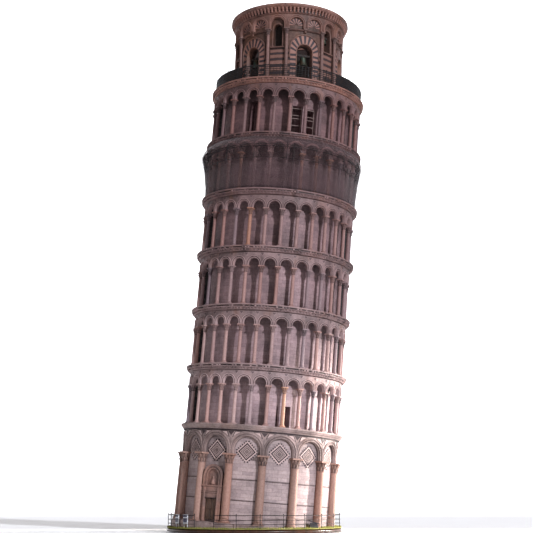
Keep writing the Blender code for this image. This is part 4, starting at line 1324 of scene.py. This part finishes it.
# ---- the terrace and the belfry ----
def build_railing(sizes):
    """Rails, posts, stays and bars, close together at the sides and six times as far apart in front."""
    radius, top = 8.05, 1.4
    smooth = np.linspace(0, 2 * math.pi, 180, endpoint=False)
    rails = [(0.14, 0.03), (0.34, 0.03), (0.54, 0.035), (0.74, 0.03)]
    rails += [(0.94, 0.035), (1.15, 0.03), (1.36, 0.05)]
    parts = [tube_between(round_at(smooth, radius, z), r, 6, closed=True) for z, r in rails]
    post = joined(
        spun([(0.07, 0.01), (0.07, 0.06), (0.04, 0.1), (0.04, top - 0.02)], 8),
        spun([(0.02, top - 0.02), (0.06, top + 0.02), (0.06, top + 0.06), (0.015, top + 0.1)], 8),
    )
    angles = math.radians(5) + np.arange(30) * BAY_STEP
    parts.append(around(moved(post, (0, -radius, 0)), angles))
    baluster = block((sizes.bar, sizes.bar, top - 0.1), (0, -radius, top / 2))
    turns = np.arange(sizes.bars) * 2 * math.pi / sizes.bars
    thick = (abs(np.sin(turns)) > 0.62) | (np.arange(sizes.bars) % 6 == 0)
    parts.append(around(baluster, turns[thick]))
    stay = tube_between([(0, -radius, 0.95), (0, -radius + 0.5, 0.02)], 0.025, 6)
    parts.append(around(stay, angles[::2]))
    piece("terrace_ironwork", joined(*parts), FINISHES["iron"], place=floor_frame(GALLERIES + 1),
          stands_for=["terrace_railing"])


def striped_arch(inner, outer, inner_centre, outer_centre, foot, near, far, side, over):
    """Wedge stones round a stilted arch, dark and pale in turn: courses up its sides, rays over its head.

    The stones reach from an inner arch to an outer one, whose centre may lie higher.
    """
    turn = np.linspace(math.pi, 0, over + 1)
    rise = np.linspace(foot, inner_centre, side + 1)[:-1]
    flat = np.zeros(side)

    def outline(radius, centre):
        up = np.concatenate([rise, centre + radius * np.sin(turn), rise[::-1]])
        return np.stack([radius * np.concatenate([flat - 1, np.cos(turn), flat + 1]), up], 1)

    inside, outside = outline(inner, inner_centre), outline(outer, outer_centre)
    stations = np.stack([inside, inside, outside, outside], 1)
    depth = np.array([near, far, far, near])
    rings = np.stack([stations[..., 0], depth[None] + 0 * stations[..., 0], stations[..., 1]], -1)
    pairs = np.stack([rings[:-1], rings[1:]], 1)
    return loft(pairs, ink=np.where((np.arange(len(pairs)) + side) % 2 == 0, 1.0, -0.55))


def fan(radius, centre, near, far, count=13):
    """A blind arch's filling: pale and dark rays from a small half disc."""
    turn = np.linspace(math.pi, 0, count + 1)
    loop = np.array([(0.2, near), (0.2, far), (radius, far), (radius, near)])
    x = loop[None, :, 0] * np.cos(turn)[:, None]
    z = centre + loop[None, :, 0] * np.sin(turn)[:, None]
    rings = np.stack([x, loop[None, :, 1] + 0 * x, z], -1)
    pairs = np.stack([rings[:-1], rings[1:]], 1)
    return loft(pairs, ink=np.where(np.arange(count) % 2 == 0, -0.6, 1.0))


BELFRY_FACE, BELFRY_INSIDE = 5.72, 4.7
BELFRY_WIDE, BELFRY_SLIM = BELFRY_FACE * math.radians(20), BELFRY_FACE * math.radians(10)
LARGE_CENTRE, SMALL_CENTRE = 3.81, 6.45
ARCADE_REACH, ARCADE_SPRING = 5.9, 6.42
ARCADE_STEP = 2 * math.pi / UPPER_ARCHES
LARGE_BAYS = LARGE_BAY + SIXTH * np.arange(6)
SMALL_BAYS = SMALL_BAY + SIXTH * np.arange(6)


def build_belfry_wall():
    """Six wide bays with bell arches and six slim ones with windows, with painted shade on the inside."""
    foot, top = 0.42, 7.95
    # Painted shade on the inner face.
    sooty = [0.0, 0.97]
    large = opening_wall(BELFRY_WIDE, foot, top, 0.86, 0.55, LARGE_CENTRE, BELFRY_INSIDE, BELFRY_FACE, 18, 5,
                         soot=np.repeat(sooty, 6))
    small = opening_wall(BELFRY_SLIM, foot, top, 0.5, 4.4, SMALL_CENTRE, BELFRY_INSIDE, BELFRY_FACE - 0.1,
                         14, 2, soot=np.repeat(sooty, 3))
    walls = [around(bent(large, BELFRY_FACE), LARGE_BAYS), around(bent(small, BELFRY_FACE), SMALL_BAYS)]
    piece("belfry_wall_courses", joined(*walls), FINISHES["belfry wall"], place=BELFRY,
          stands_for=["belfry_wall"])


def build_belfry_banding():
    """What lies on the wall: stripes, striped arches, mouldings, sills, a string course and the foot."""
    face = BELFRY_FACE
    bands = []
    dark = [(1.35, 0.26), (2.15, 0.2), (2.9, 0.18), (3.55, 0.16), (4.12, 0.1)]
    pale = [(1.72, 0.36), (2.44, 0.38), (3.16, 0.32), (3.78, 0.28)]

    def stripe(xs, z, tall, near, far, ink, bays):
        low, high = [(x, z) for x in xs], [(x, z + tall) for x in xs]
        bands.append(around(bent(between(low, high, near, far, ink=ink), face), bays))

    for stripes, ink in ((dark, 0.95), (pale, -0.35)):
        for z, tall in stripes:
            edge = BELFRY_SLIM - 0.2
            stripe((-edge, 0, edge), z, tall, face - 0.14, face - 0.08, ink, SMALL_BAYS)
            for side in (-1, 1):
                run = (side * 1.6, side * (BELFRY_WIDE - 0.14))
                stripe(run, z, tall, face - 0.04, face + 0.02, ink, LARGE_BAYS)
    hood = [
        (1.57, face - 0.05),
        (1.57, face + 0.08),
        (1.61, face + 0.14),
        (1.68, face + 0.14),
        (1.72, face + 0.06),
        (1.72, face - 0.05),
    ]
    bay = [
        striped_arch(0.96, 1.58, LARGE_CENTRE, 4.1, 0.7, face - 0.05, face + 0.06, 12, 17),
        arch_moulding(roll_section(0.85, 0.98, 5.2, face + 0.04, face + 0.09, 0.03), LARGE_CENTRE, 0.6, 24),
        arch_moulding(hood, 4.1, 3.1, 24),
    ]
    bands.append(around(bent(joined(*bay), face), LARGE_BAYS))
    ledge = block((1.5, 0.3, 0.12), (0, face - 0.02, 4.32), chamfer=0.02)
    jamb = [
        (0.5, 5.3),
        (0.5, face - 0.08),
        (0.55, face - 0.04),
        (0.6, face - 0.04),
        (0.64, face - 0.1),
        (0.64, 5.3),
    ]
    window = joined(ledge, arch_moulding(jamb, SMALL_CENTRE, 4.4, 18))
    bands.append(around(bent(window, face), SMALL_BAYS))
    string = np.array(round_profile([(5.6, 6.2), (5.86, 6.2), (5.9, 6.26, 0.03), (5.9, 6.34), (5.6, 6.4)]))
    span = np.linspace(-1, 1, 25)[:, None] * (math.radians(20) - 0.02)
    bands.append(around(loft(round_at(span, string[:, 0], string[:, 1])), LARGE_BAYS))
    foot = [
        (4.68, 0.36),
        (6.22, 0.36),
        (6.25, 0.42),
        (6.2, 0.52),
        (6.02, 0.56),
        (5.98, 0.68),
        (5.6, 0.72),
        (4.68, 0.72),
    ]
    bands.append(revolved(foot, 150))
    piece("belfry_banding", joined(*bands), FINISHES["belfry trim"], place=BELFRY)


def build_belfry_shade_louvres():
    """Dark louvres in the small windows, but for the one with a bell in it, standing in for the shade inside.
    """
    slats = [block((0.98, 0.05, 0.16), (0, -4.78, z)) for z in np.arange(4.5, 6.95, 0.2)]
    louvre = joined(block((1.06, 0.06, 2.6), (0, -4.72, 5.7)), *slats)
    shut = np.delete(SMALL_BAYS, 1)
    piece("belfry_shade_louvres", around(louvre, shut), FINISHES["beam wood"], place=BELFRY)


def build_belfry_arcade(sizes):
    """Eighteen small arches on twelve columns and six corbels, with a fan of rays in every blind one."""
    middles = SMALL_BAY + np.arange(UPPER_ARCHES) * ARCADE_STEP
    half = ARCADE_REACH * ARCADE_STEP / 2
    centre, spring, top = 6.9, ARCADE_SPRING, 8.04
    inner_roll = roll_section(0.75, 0.88, 5.66, 6.0, 6.04, 0.03)
    # The groove carries painted shade.
    groove = [(0.87, 5.9), (0.87, 5.99), (0.91, 5.99), (0.91, 5.9)]
    outer_roll = [(0.9, 5.9), (0.9, 6.02), (0.92, 6.08), (0.97, 6.08), (1.0, 6.02), (1.0, 5.9)]
    bay = joined(
        between(*arch_outlines(half, top, 0.78, centre, spring, 16), 5.66, 5.98),
        arch_moulding(inner_roll, centre, spring, 18, ink=-0.3),
        arch_moulding(groove, centre, spring, 18, soot=0.9),
        arch_moulding(outer_roll, centre, spring + 0.1, 18, ink=-0.3),
    )
    rays = fan(0.8, centre - 0.12, BELFRY_FACE - 0.02, BELFRY_FACE + 0.06)
    blind = np.delete(middles, np.s_[::3])
    corbel = joined(
        block((0.4, 0.34, 0.16), (0, 5.86, 6.34)), block((0.24, 0.26, 0.3), (0, 5.82, 6.13), chamfer=0.04)
    )
    arcade = joined(
        around(bent(bay, ARCADE_REACH), middles),
        around(bent(rays, ARCADE_REACH), blind),
        around(bent(corbel, ARCADE_REACH), LARGE_BAYS),
    )
    piece("belfry_upper_arches", arcade, FINISHES["belfry trim"], place=BELFRY,
          stands_for=["belfry_arcade"])
    posts = (SMALL_BAYS[:, None] + np.array([-0.5, 0.5]) * ARCADE_STEP).reshape(-1)
    one = moved(column(0.7, spring, sizes.belfry_column, 0.27, 0.7), (0, -5.87, 0))
    tint = np.random.default_rng(77).uniform(0.25, 0.75, len(posts))
    piece("belfry_columns", around(one, posts, tint=tint), FINISHES["shafts belfry"], place=BELFRY)


def build_belfry_cornice():
    """The crown: a moulded ring over a row of stepped brackets, with painted shade in the hollow behind them.
    """
    profile = round_profile(
        [
            (4.7, 9.04),
            (6.46, 9.04),
            (6.52, 9.0),
            (6.52, 8.84, 0.02),
            (6.52, 8.74),
            (6.45, 8.7),
            (6.42, 8.64),
            (6.12, 8.6),
            (6.1, 8.12),
            (6.14, 8.09, 0.03),
            (6.1, 8.04),
            (4.7, 8.04),
        ]
    )
    bracket = joined(
        block((0.2, 0.32, 0.12), (0, -6.26, 8.55), chamfer=0.02),
        block((0.18, 0.24, 0.16), (0, -6.22, 8.42), chamfer=0.03),
        block((0.17, 0.16, 0.2), (0, -6.18, 8.25), chamfer=0.03),
    )
    count = 96
    brackets = around(bracket, np.arange(count) * 2 * math.pi / count, ink=np.full(count, -0.3))
    shadow = revolved([(6.0, 8.14), (6.115, 8.14), (6.115, 8.58), (6.0, 8.58)], 150, soot=1.0)
    crown = joined(revolved(profile, 210), brackets, shadow)
    piece("belfry_cornice_carved", crown, FINISHES["crown trim"], place=BELFRY,
          stands_for=["belfry_cornice"])


def build_belfry_plinth():
    """The wedge under the belfry: a ring whose top follows the belfry and whose foot follows the terrace."""
    turn = np.linspace(0, 2 * math.pi, 120, endpoint=False)
    to_belfry = np.linalg.inv(BELFRY) @ SHAFT
    offset = np.array([0, 0, TERRACE])

    def bottom(radius):
        flat = round_at(turn, radius, 0.04) + offset
        return (flat * SCALE) @ to_belfry[:3, :3].T / SCALE + to_belfry[:3, 3] / SCALE

    upper = [round_at(turn, r, z) for r, z in ((6.35, 0.2), (6.28, 0.28), (6.28, 0.36), (4.66, 0.36))]
    rings = np.stack([bottom(4.66), bottom(6.35), *upper], 1)
    piece("belfry_plinth_steps", loft(rings, closed=True), FINISHES["belfry trim"], place=BELFRY,
          stands_for=["belfry_plinth"])


# ---- the bells ----
LARGE_BELL_RADII = (0.62, 0.58, 0.6, 0.54, 0.5, 0.56)
SMALL_BELL_RADIUS = 0.33


def bell_shape(radius):
    """A bell from its crown at height 0 to its lip and back up inside: shoulder, waist, bow and wires."""
    tall = 1.75 * radius
    shoulder = [(0.01, 0.0), (0.36, 0.0), (0.46, -0.03), (0.53, -0.09)]
    upper_wires = [(0.555, -0.15), (0.575, -0.155), (0.575, -0.17), (0.56, -0.18)]
    waist = [(0.575, -0.3), (0.6, -0.45), (0.64, -0.6), (0.69, -0.7)]
    lower_wires = [(0.71, -0.705), (0.71, -0.72), (0.7, -0.725), (0.75, -0.8)]
    bow = [(0.8, -0.85), (0.825, -0.855), (0.83, -0.87), (0.82, -0.88)]
    lip = [(0.9, -0.94), (0.98, -0.985), (1.0, -1.0), (0.88, -1.0), (0.78, -0.93)]
    inside = [(0.64, -0.8), (0.54, -0.62), (0.49, -0.4), (0.45, -0.22), (0.3, -0.17), (0.01, -0.165)]
    outline = shoulder + upper_wires + waist + lower_wires + bow + lip + inside
    profile = [(r * radius, z * tall) for r, z in outline]
    return spun(profile, 40)


def build_bell(number):
    """A bell with its beam, straps and pin, and its clapper. Beam and pin run along the swing's axis."""
    name = f"bell_{number}"
    swing, tongue = joint(f"{name}_swing"), joint(f"{name}_clapper_swing")
    along = np.array(swing["axis"], float)
    up = unit(np.array([0, 0, 1.0]) - along * along[2])
    place = axes(swing["pos_m"], along, up)
    small = number > len(LARGE_BELL_RADII)
    radius = SMALL_BELL_RADIUS if small else LARGE_BELL_RADII[number - 1]
    half = 0.45 if small else 0.79
    shell = moved(bell_shape(radius), (0, 0, -0.17))
    piece(f"{name}_shell", shell, FINISHES["bronze"], body=name, place=place, stands_for=[name])
    beam = joined(
        block((2 * half, 0.2, 0.2), (0, 0, -0.01), chamfer=0.02),
        block((2 * half * 0.62, 0.18, 0.06), (0, 0, 0.1), chamfer=0.02),
    )
    piece(f"{name}_beam", beam, FINISHES["beam wood"], body=name, place=place,
          stands_for=[f"{name}_headstock"])
    straps = []
    for side in (-1, 1):
        straps.append(block((0.05, 0.225, 0.24), (side * 0.44 * radius, 0, -0.01), chamfer=0.004))
        straps.append(block((0.05, 0.22, 0.22), (side * (half - 0.08), 0, -0.01), chamfer=0.004))
    pin = spun([(0.055, -half - 0.18), (0.055, half + 0.18)], 16)
    pin.points = pin.points[:, [2, 1, 0]]
    lug = spun([(0.05, -0.175), (0.05, -0.1)], 10)
    ironwork = joined(*straps, facing_out(pin), lug)
    piece(f"{name}_straps", ironwork, FINISHES["iron"], body=name, place=place)
    piece(f"{name}_tongue", tongue_shape(radius), FINISHES["iron"], body=f"{name}_clapper",
          place=axes(tongue["pos_m"], tongue["axis"], up), stands_for=[f"{name}_clapper"])


def tongue_shape(radius):
    """A clapper from its eye at height 0 to its tip: a rod, a swelling ball and a short tail."""
    foot = 0.78 * 1.75 * radius
    ball = [(0.12, 0.42), (0.19, 0.3), (0.19, 0.2), (0.12, 0.1), (0.05, 0.06)]
    rod = 0.06 * radius
    profile = [(0.01, 0.0), (rod, -0.005), (rod, 0.5 * radius - foot)]
    profile += [(r * radius, z * radius - foot) for r, z in ball]
    profile += [(0.05 * radius, 0.01 - foot), (0.01, -foot)]
    return spun(profile, 18)


# ---- the stage ----
def build_sweep():
    """A paper sweep: flat in front, a quarter circle behind and upright at the back, which glows faintly."""
    bend = np.linspace(0, math.pi / 2, 12)
    far, rise = 3.0, 1.2
    run = np.concatenate([[-6.0, -2.0, 0.0, 1.5], far + rise * np.sin(bend), [far + rise]])
    up = np.concatenate([[0.0] * 4, rise * (1 - np.cos(bend)), [5.0]])
    across = np.array([-6.0, -1.9, -1.5, -0.5, 0.5, 1.5, 1.9, 6.0])
    grid = np.stack(np.broadcast_arrays(across[None], run[:, None], up[:, None]), -1).reshape(-1, 3)
    wide = len(across)
    i, j = np.meshgrid(np.arange(len(run) - 1), np.arange(wide - 1), indexing="ij")
    corner = i * wide + j
    quads = np.stack([corner, corner + 1, corner + wide + 1, corner + wide], -1).reshape(-1, 4)
    mesh = bpy.data.meshes.new("sweep")
    mesh.from_pydata(grid.tolist(), [], quads.tolist())
    mesh.shade_smooth()
    sweep = bpy.data.objects.new("sweep", mesh)
    paper = Finish("sweep paper", roughness=0.9)
    axes_of = paper.add("SeparateXYZ", {"Vector": paper.place}).outputs
    sideways = paper.maths("ABSOLUTE", axes_of["X"], 0.0)
    glow = paper.maths("MULTIPLY", paper.ramp(axes_of["Y"], 0.6, 3.0), paper.ramp(sideways, 2.4, 1.4))
    white = paper.mix(paper.ramp(paper.noise(3), 0.2, 0.8), (0.9, 0.9, 0.9, 1), (0.94, 0.94, 0.94, 1))
    paper.shader.inputs["Emission Color"].default_value = (1, 1, 1, 1)
    mesh.materials.append(paper.done(white, Emission_Strength=glow))
    bpy.context.scene.collection.objects.link(sweep)


def build_lights(look):
    """Surroundings, a low sun, a spot that grazes the foot from one side and a soft lamp overhead."""
    world = bpy.data.worlds.new("studio")
    bpy.context.scene.world = world
    world.use_nodes = True
    sky = world.node_tree.nodes["Background"]
    sky.inputs["Color"].default_value = (*look.sky_colour, 1)
    sky.inputs["Strength"].default_value = look.sky
    sun = bpy.data.lights.new("sun", "SUN")
    sun.energy = look.key
    sun.color = look.key_colour
    sun.angle = math.radians(2.5)
    add_lamp(sun, 2.0, 33, 19)
    rim = bpy.data.lights.new("rim", "SPOT")
    rim.energy = look.rim
    rim.color = (1.0, 0.93, 0.86)
    rim.spot_size = math.radians(11)
    rim.spot_blend = 0.35
    rim.shadow_soft_size = 0.02
    add_lamp(rim, 1.0, 104, 10, (0.012, 0, 0.03))
    top = bpy.data.lights.new("softbox", "AREA")
    top.energy = look.fill
    top.size = 2.2
    add_lamp(top, 2.0, 20, 80, (0, 0, 0))


def build_camera():
    """A camera on the lawn in front, tilted up at the tower. Its place is in metres of the building."""
    camera = bpy.data.objects.new("camera", bpy.data.cameras.new("camera"))
    bpy.context.scene.collection.objects.link(camera)
    bpy.context.scene.camera = camera
    camera.data.lens = 79.9
    camera.data.clip_start = 0.01
    camera.location = np.array([1.466, -125.63, 3.20]) * SCALE
    camera.rotation_euler = (math.radians(90 + 11.183), 0, math.radians(0.091))
    bpy.context.scene.view_settings.view_transform = "Standard"


def add_lamp(lamp, far, turn, rise, target=(0, 0, 0.16)):
    """Hangs a lamp `far` from its target, turned from the front towards +X and raised, both in degrees."""
    made = bpy.data.objects.new(lamp.name, lamp)
    turn, rise = math.radians(turn), math.radians(rise)
    aim = np.array([math.sin(turn) * math.cos(rise), -math.cos(turn) * math.cos(rise), math.sin(rise)])
    made.location = np.array(target) + aim * far
    made.rotation_euler = (math.acos(aim[2]), 0, math.atan2(aim[1], aim[0]) + math.pi / 2)
    bpy.context.scene.collection.objects.link(made)


# ---- settings, operators and the panel ----
def length(name, description, default, **limits):
    """A length in metres of the full-size building."""
    return FloatProperty(name=name, description=description, default=default, unit="LENGTH", **limits)


def colour(name, description, red, green, blue):
    """A display colour, given from 0 to 255."""
    default = (red / 255, green / 255, blue / 255)
    return FloatVectorProperty(
        name=name, description=description, default=default, subtype="COLOR_GAMMA", min=0, max=1
    )


class TowerSizes(bpy.types.PropertyGroup):
    blades: IntProperty(name="Grass blades", description="How many blades stand on the lawn", default=16000,
                        min=1)
    blade_height: length("Blade height", "Height of the tallest grass", 0.22, min=0.01)
    ground_column: length("Ground column", "Radius of the ground storey's columns", 0.41, min=0.1)
    gallery_column: length("Gallery column", "Radius of the galleries' columns", 0.185, min=0.05)
    belfry_column: length("Belfry column", "Radius of the belfry's columns", 0.18, min=0.05)
    bar: length("Railing bar", "Thickness of the terrace railing's bars", 0.036, min=0.01)
    bars: IntProperty(name="Railing bars", description="How many bars the railing's dense sides have",
                      default=900, min=30)
    net_sag: length("Net sag", "How far the net dips between its uprights", 0.05, min=0.0)


class TowerColours(bpy.types.PropertyGroup):
    ground_wall: colour("Ground wall", "Marble of the ground storey's wall", 189, 169, 167)
    ground_trim: colour("Ground carving", "Marble of the ground storey's arches", 170, 148, 144)
    ground_shafts: colour("Ground columns", "Marble of the ground storey's columns", 148, 117, 106)
    gallery_low: colour("First gallery", "Marble of the lowest gallery", 172, 148, 147)
    gallery_high: colour("Sixth gallery", "Marble of the highest gallery", 118, 90, 89)
    belfry_wall: colour("Belfry wall", "Marble of the belfry's wall", 106, 76, 66)
    belfry_trim: colour("Belfry carving", "Marble of the belfry's arches", 122, 88, 79)
    belfry_shafts: colour("Belfry columns", "Marble of the belfry's columns", 116, 88, 82)
    inlay: colour("Inlay", "Dark marble of the inlaid patterns", 46, 35, 39)
    iron: colour("Iron", "Paint of the railings and the scaffold", 34, 29, 33)
    bronze: colour("Bronze", "Bare metal of the bells", 66, 54, 42)
    patina: colour("Patina", "Weathered metal of the bells", 54, 70, 62)
    door: colour("Door", "Boards of the door", 94, 66, 50)
    base: colour("Base", "Stained wood of the base", 74, 44, 30)
    net: colour("Net", "Cloth of the scaffold net", 77, 59, 61)
    board: colour("Boards", "Paint of the notice boards", 226, 228, 232)


class TowerLook(bpy.types.PropertyGroup):
    key: FloatProperty(name="Sun", description="Strength of the low sun, from the right of the front",
                       default=3.6)
    rim: FloatProperty(name="Rim light", description="Power of the spot that grazes the foot", default=160,
                       unit="POWER")
    fill: FloatProperty(name="Softbox", description="Power of the soft lamp overhead", default=12,
                        unit="POWER")
    sky: FloatProperty(name="Sky", description="Strength of the surroundings", default=0.17)
    key_colour: FloatVectorProperty(
        name="Sun colour", description="Colour of the low sun", subtype="COLOR", default=(0.9, 0.925, 1.0)
    )
    sky_colour: FloatVectorProperty(
        name="Sky colour", description="Colour of the surroundings", subtype="COLOR", default=(1.0, 0.9, 0.92)
    )


class TOWER_OT_finishes(bpy.types.Operator):
    """Mix the marbles, metals, woods, paints, turf and net"""

    bl_idname = "tower.finishes"
    bl_label = "Finishes"

    def execute(self, context):
        make_finishes(context.scene.tower_colours)
        return {"FINISHED"}


class TOWER_OT_base(bpy.types.Operator):
    """Turn the base plate and lay the lawn on it"""

    bl_idname = "tower.base"
    bl_label = "Base and lawn"

    def execute(self, context):
        build_base(context.scene.tower_sizes)
        return {"FINISHED"}


class TOWER_OT_furniture(bpy.types.Operator):
    """Set up the fence, the notice boards and the lectern"""

    bl_idname = "tower.furniture"
    bl_label = "Fence, boards and lectern"

    def execute(self, context):
        ground = GROUND_Z / SCALE
        build_fence(ground)
        for name in ("info_board_left", "info_board_right"):
            build_board(name, ground)
        build_lectern(ground)
        return {"FINISHED"}


class TOWER_OT_ground_storey(bpy.types.Operator):
    """Carve the ground storey: steps, wall, columns, arches and inlay"""

    bl_idname = "tower.ground_storey"
    bl_label = "Ground storey"

    def execute(self, context):
        build_ground_storey(context.scene.tower_sizes)
        return {"FINISHED"}


class TOWER_OT_portal(bpy.types.Operator):
    """Carve the doorway and hang its two leaves"""

    bl_idname = "tower.portal"
    bl_label = "Doorway"

    def execute(self, context):
        build_portal()
        build_door_leaf("door_leaf_left", -1)
        build_door_leaf("door_leaf_right", 1)
        return {"FINISHED"}


class TOWER_OT_galleries(bpy.types.Operator):
    """Carve the six galleries: wall, columns and arches"""

    bl_idname = "tower.galleries"
    bl_label = "Galleries"

    def execute(self, context):
        for number in range(1, GALLERIES + 1):
            build_gallery(context.scene.tower_sizes, number)
        return {"FINISHED"}


class TOWER_OT_cornices(bpy.types.Operator):
    """Carve the cornice under each gallery and the terrace"""

    bl_idname = "tower.cornices"
    bl_label = "Cornices"

    def execute(self, context):
        build_cornices()
        return {"FINISHED"}


class TOWER_OT_net(bpy.types.Operator):
    """Stretch the net over the scaffold round the fifth gallery"""

    bl_idname = "tower.net"
    bl_label = "Scaffold and net"

    def execute(self, context):
        build_net(context.scene.tower_sizes)
        build_net_shade_boards()
        build_scaffold()
        return {"FINISHED"}


class TOWER_OT_railing(bpy.types.Operator):
    """Forge the terrace railing"""

    bl_idname = "tower.railing"
    bl_label = "Terrace railing"

    def execute(self, context):
        build_railing(context.scene.tower_sizes)
        return {"FINISHED"}


class TOWER_OT_belfry(bpy.types.Operator):
    """Carve the belfry and the wedge it stands on"""

    bl_idname = "tower.belfry"
    bl_label = "Belfry"

    def execute(self, context):
        build_belfry_plinth()
        build_belfry_wall()
        build_belfry_banding()
        build_belfry_shade_louvres()
        build_belfry_arcade(context.scene.tower_sizes)
        build_belfry_cornice()
        return {"FINISHED"}


class TOWER_OT_bells(bpy.types.Operator):
    """Cast the seven bells and hang them with their clappers"""

    bl_idname = "tower.bells"
    bl_label = "Bells"

    def execute(self, context):
        for number in range(1, 8):
            build_bell(number)
        return {"FINISHED"}


class TOWER_OT_stage(bpy.types.Operator):
    """Lay the paper sweep and set the lights and the camera"""

    bl_idname = "tower.stage"
    bl_label = "Stage, lights and camera"

    def execute(self, context):
        build_sweep()
        build_lights(context.scene.tower_look)
        build_camera()
        return {"FINISHED"}


SETTINGS = {"tower_sizes": TowerSizes, "tower_colours": TowerColours, "tower_look": TowerLook}
OPERATORS = (
    TOWER_OT_finishes,
    TOWER_OT_base,
    TOWER_OT_furniture,
    TOWER_OT_ground_storey,
    TOWER_OT_portal,
    TOWER_OT_galleries,
    TOWER_OT_cornices,
    TOWER_OT_net,
    TOWER_OT_railing,
    TOWER_OT_belfry,
    TOWER_OT_bells,
    TOWER_OT_stage,
)


class TOWER_PT_panel(bpy.types.Panel):
    """The tower's sizes, colours and light, and a button for each group of pieces"""

    bl_idname = "TOWER_PT_panel"
    bl_label = "Bell tower"
    bl_space_type = "VIEW_3D"
    bl_region_type = "UI"
    bl_category = "Bell tower"

    def draw(self, context):
        for name, kind in SETTINGS.items():
            box = self.layout.box()
            for setting in kind.__annotations__:
                box.prop(getattr(context.scene, name), setting)
        for made in OPERATORS:
            self.layout.operator(made.bl_idname)


CLASSES = (*SETTINGS.values(), *OPERATORS, TOWER_PT_panel)


def register():
    for kind in CLASSES:
        bpy.utils.register_class(kind)
    for name, kind in SETTINGS.items():
        setattr(bpy.types.Scene, name, PointerProperty(type=kind))


def unregister():
    for name in SETTINGS:
        delattr(bpy.types.Scene, name)
    for kind in reversed(CLASSES):
        bpy.utils.unregister_class(kind)


def main():
    register()
    bpy.ops.tower.finishes()
    bpy.ops.tower.base()
    bpy.ops.tower.furniture()
    bpy.ops.tower.ground_storey()
    bpy.ops.tower.portal()
    bpy.ops.tower.galleries()
    bpy.ops.tower.cornices()
    bpy.ops.tower.net()
    bpy.ops.tower.railing()
    bpy.ops.tower.belfry()
    bpy.ops.tower.bells()
    bpy.ops.tower.stage()


if __name__ == "__main__":
    main()
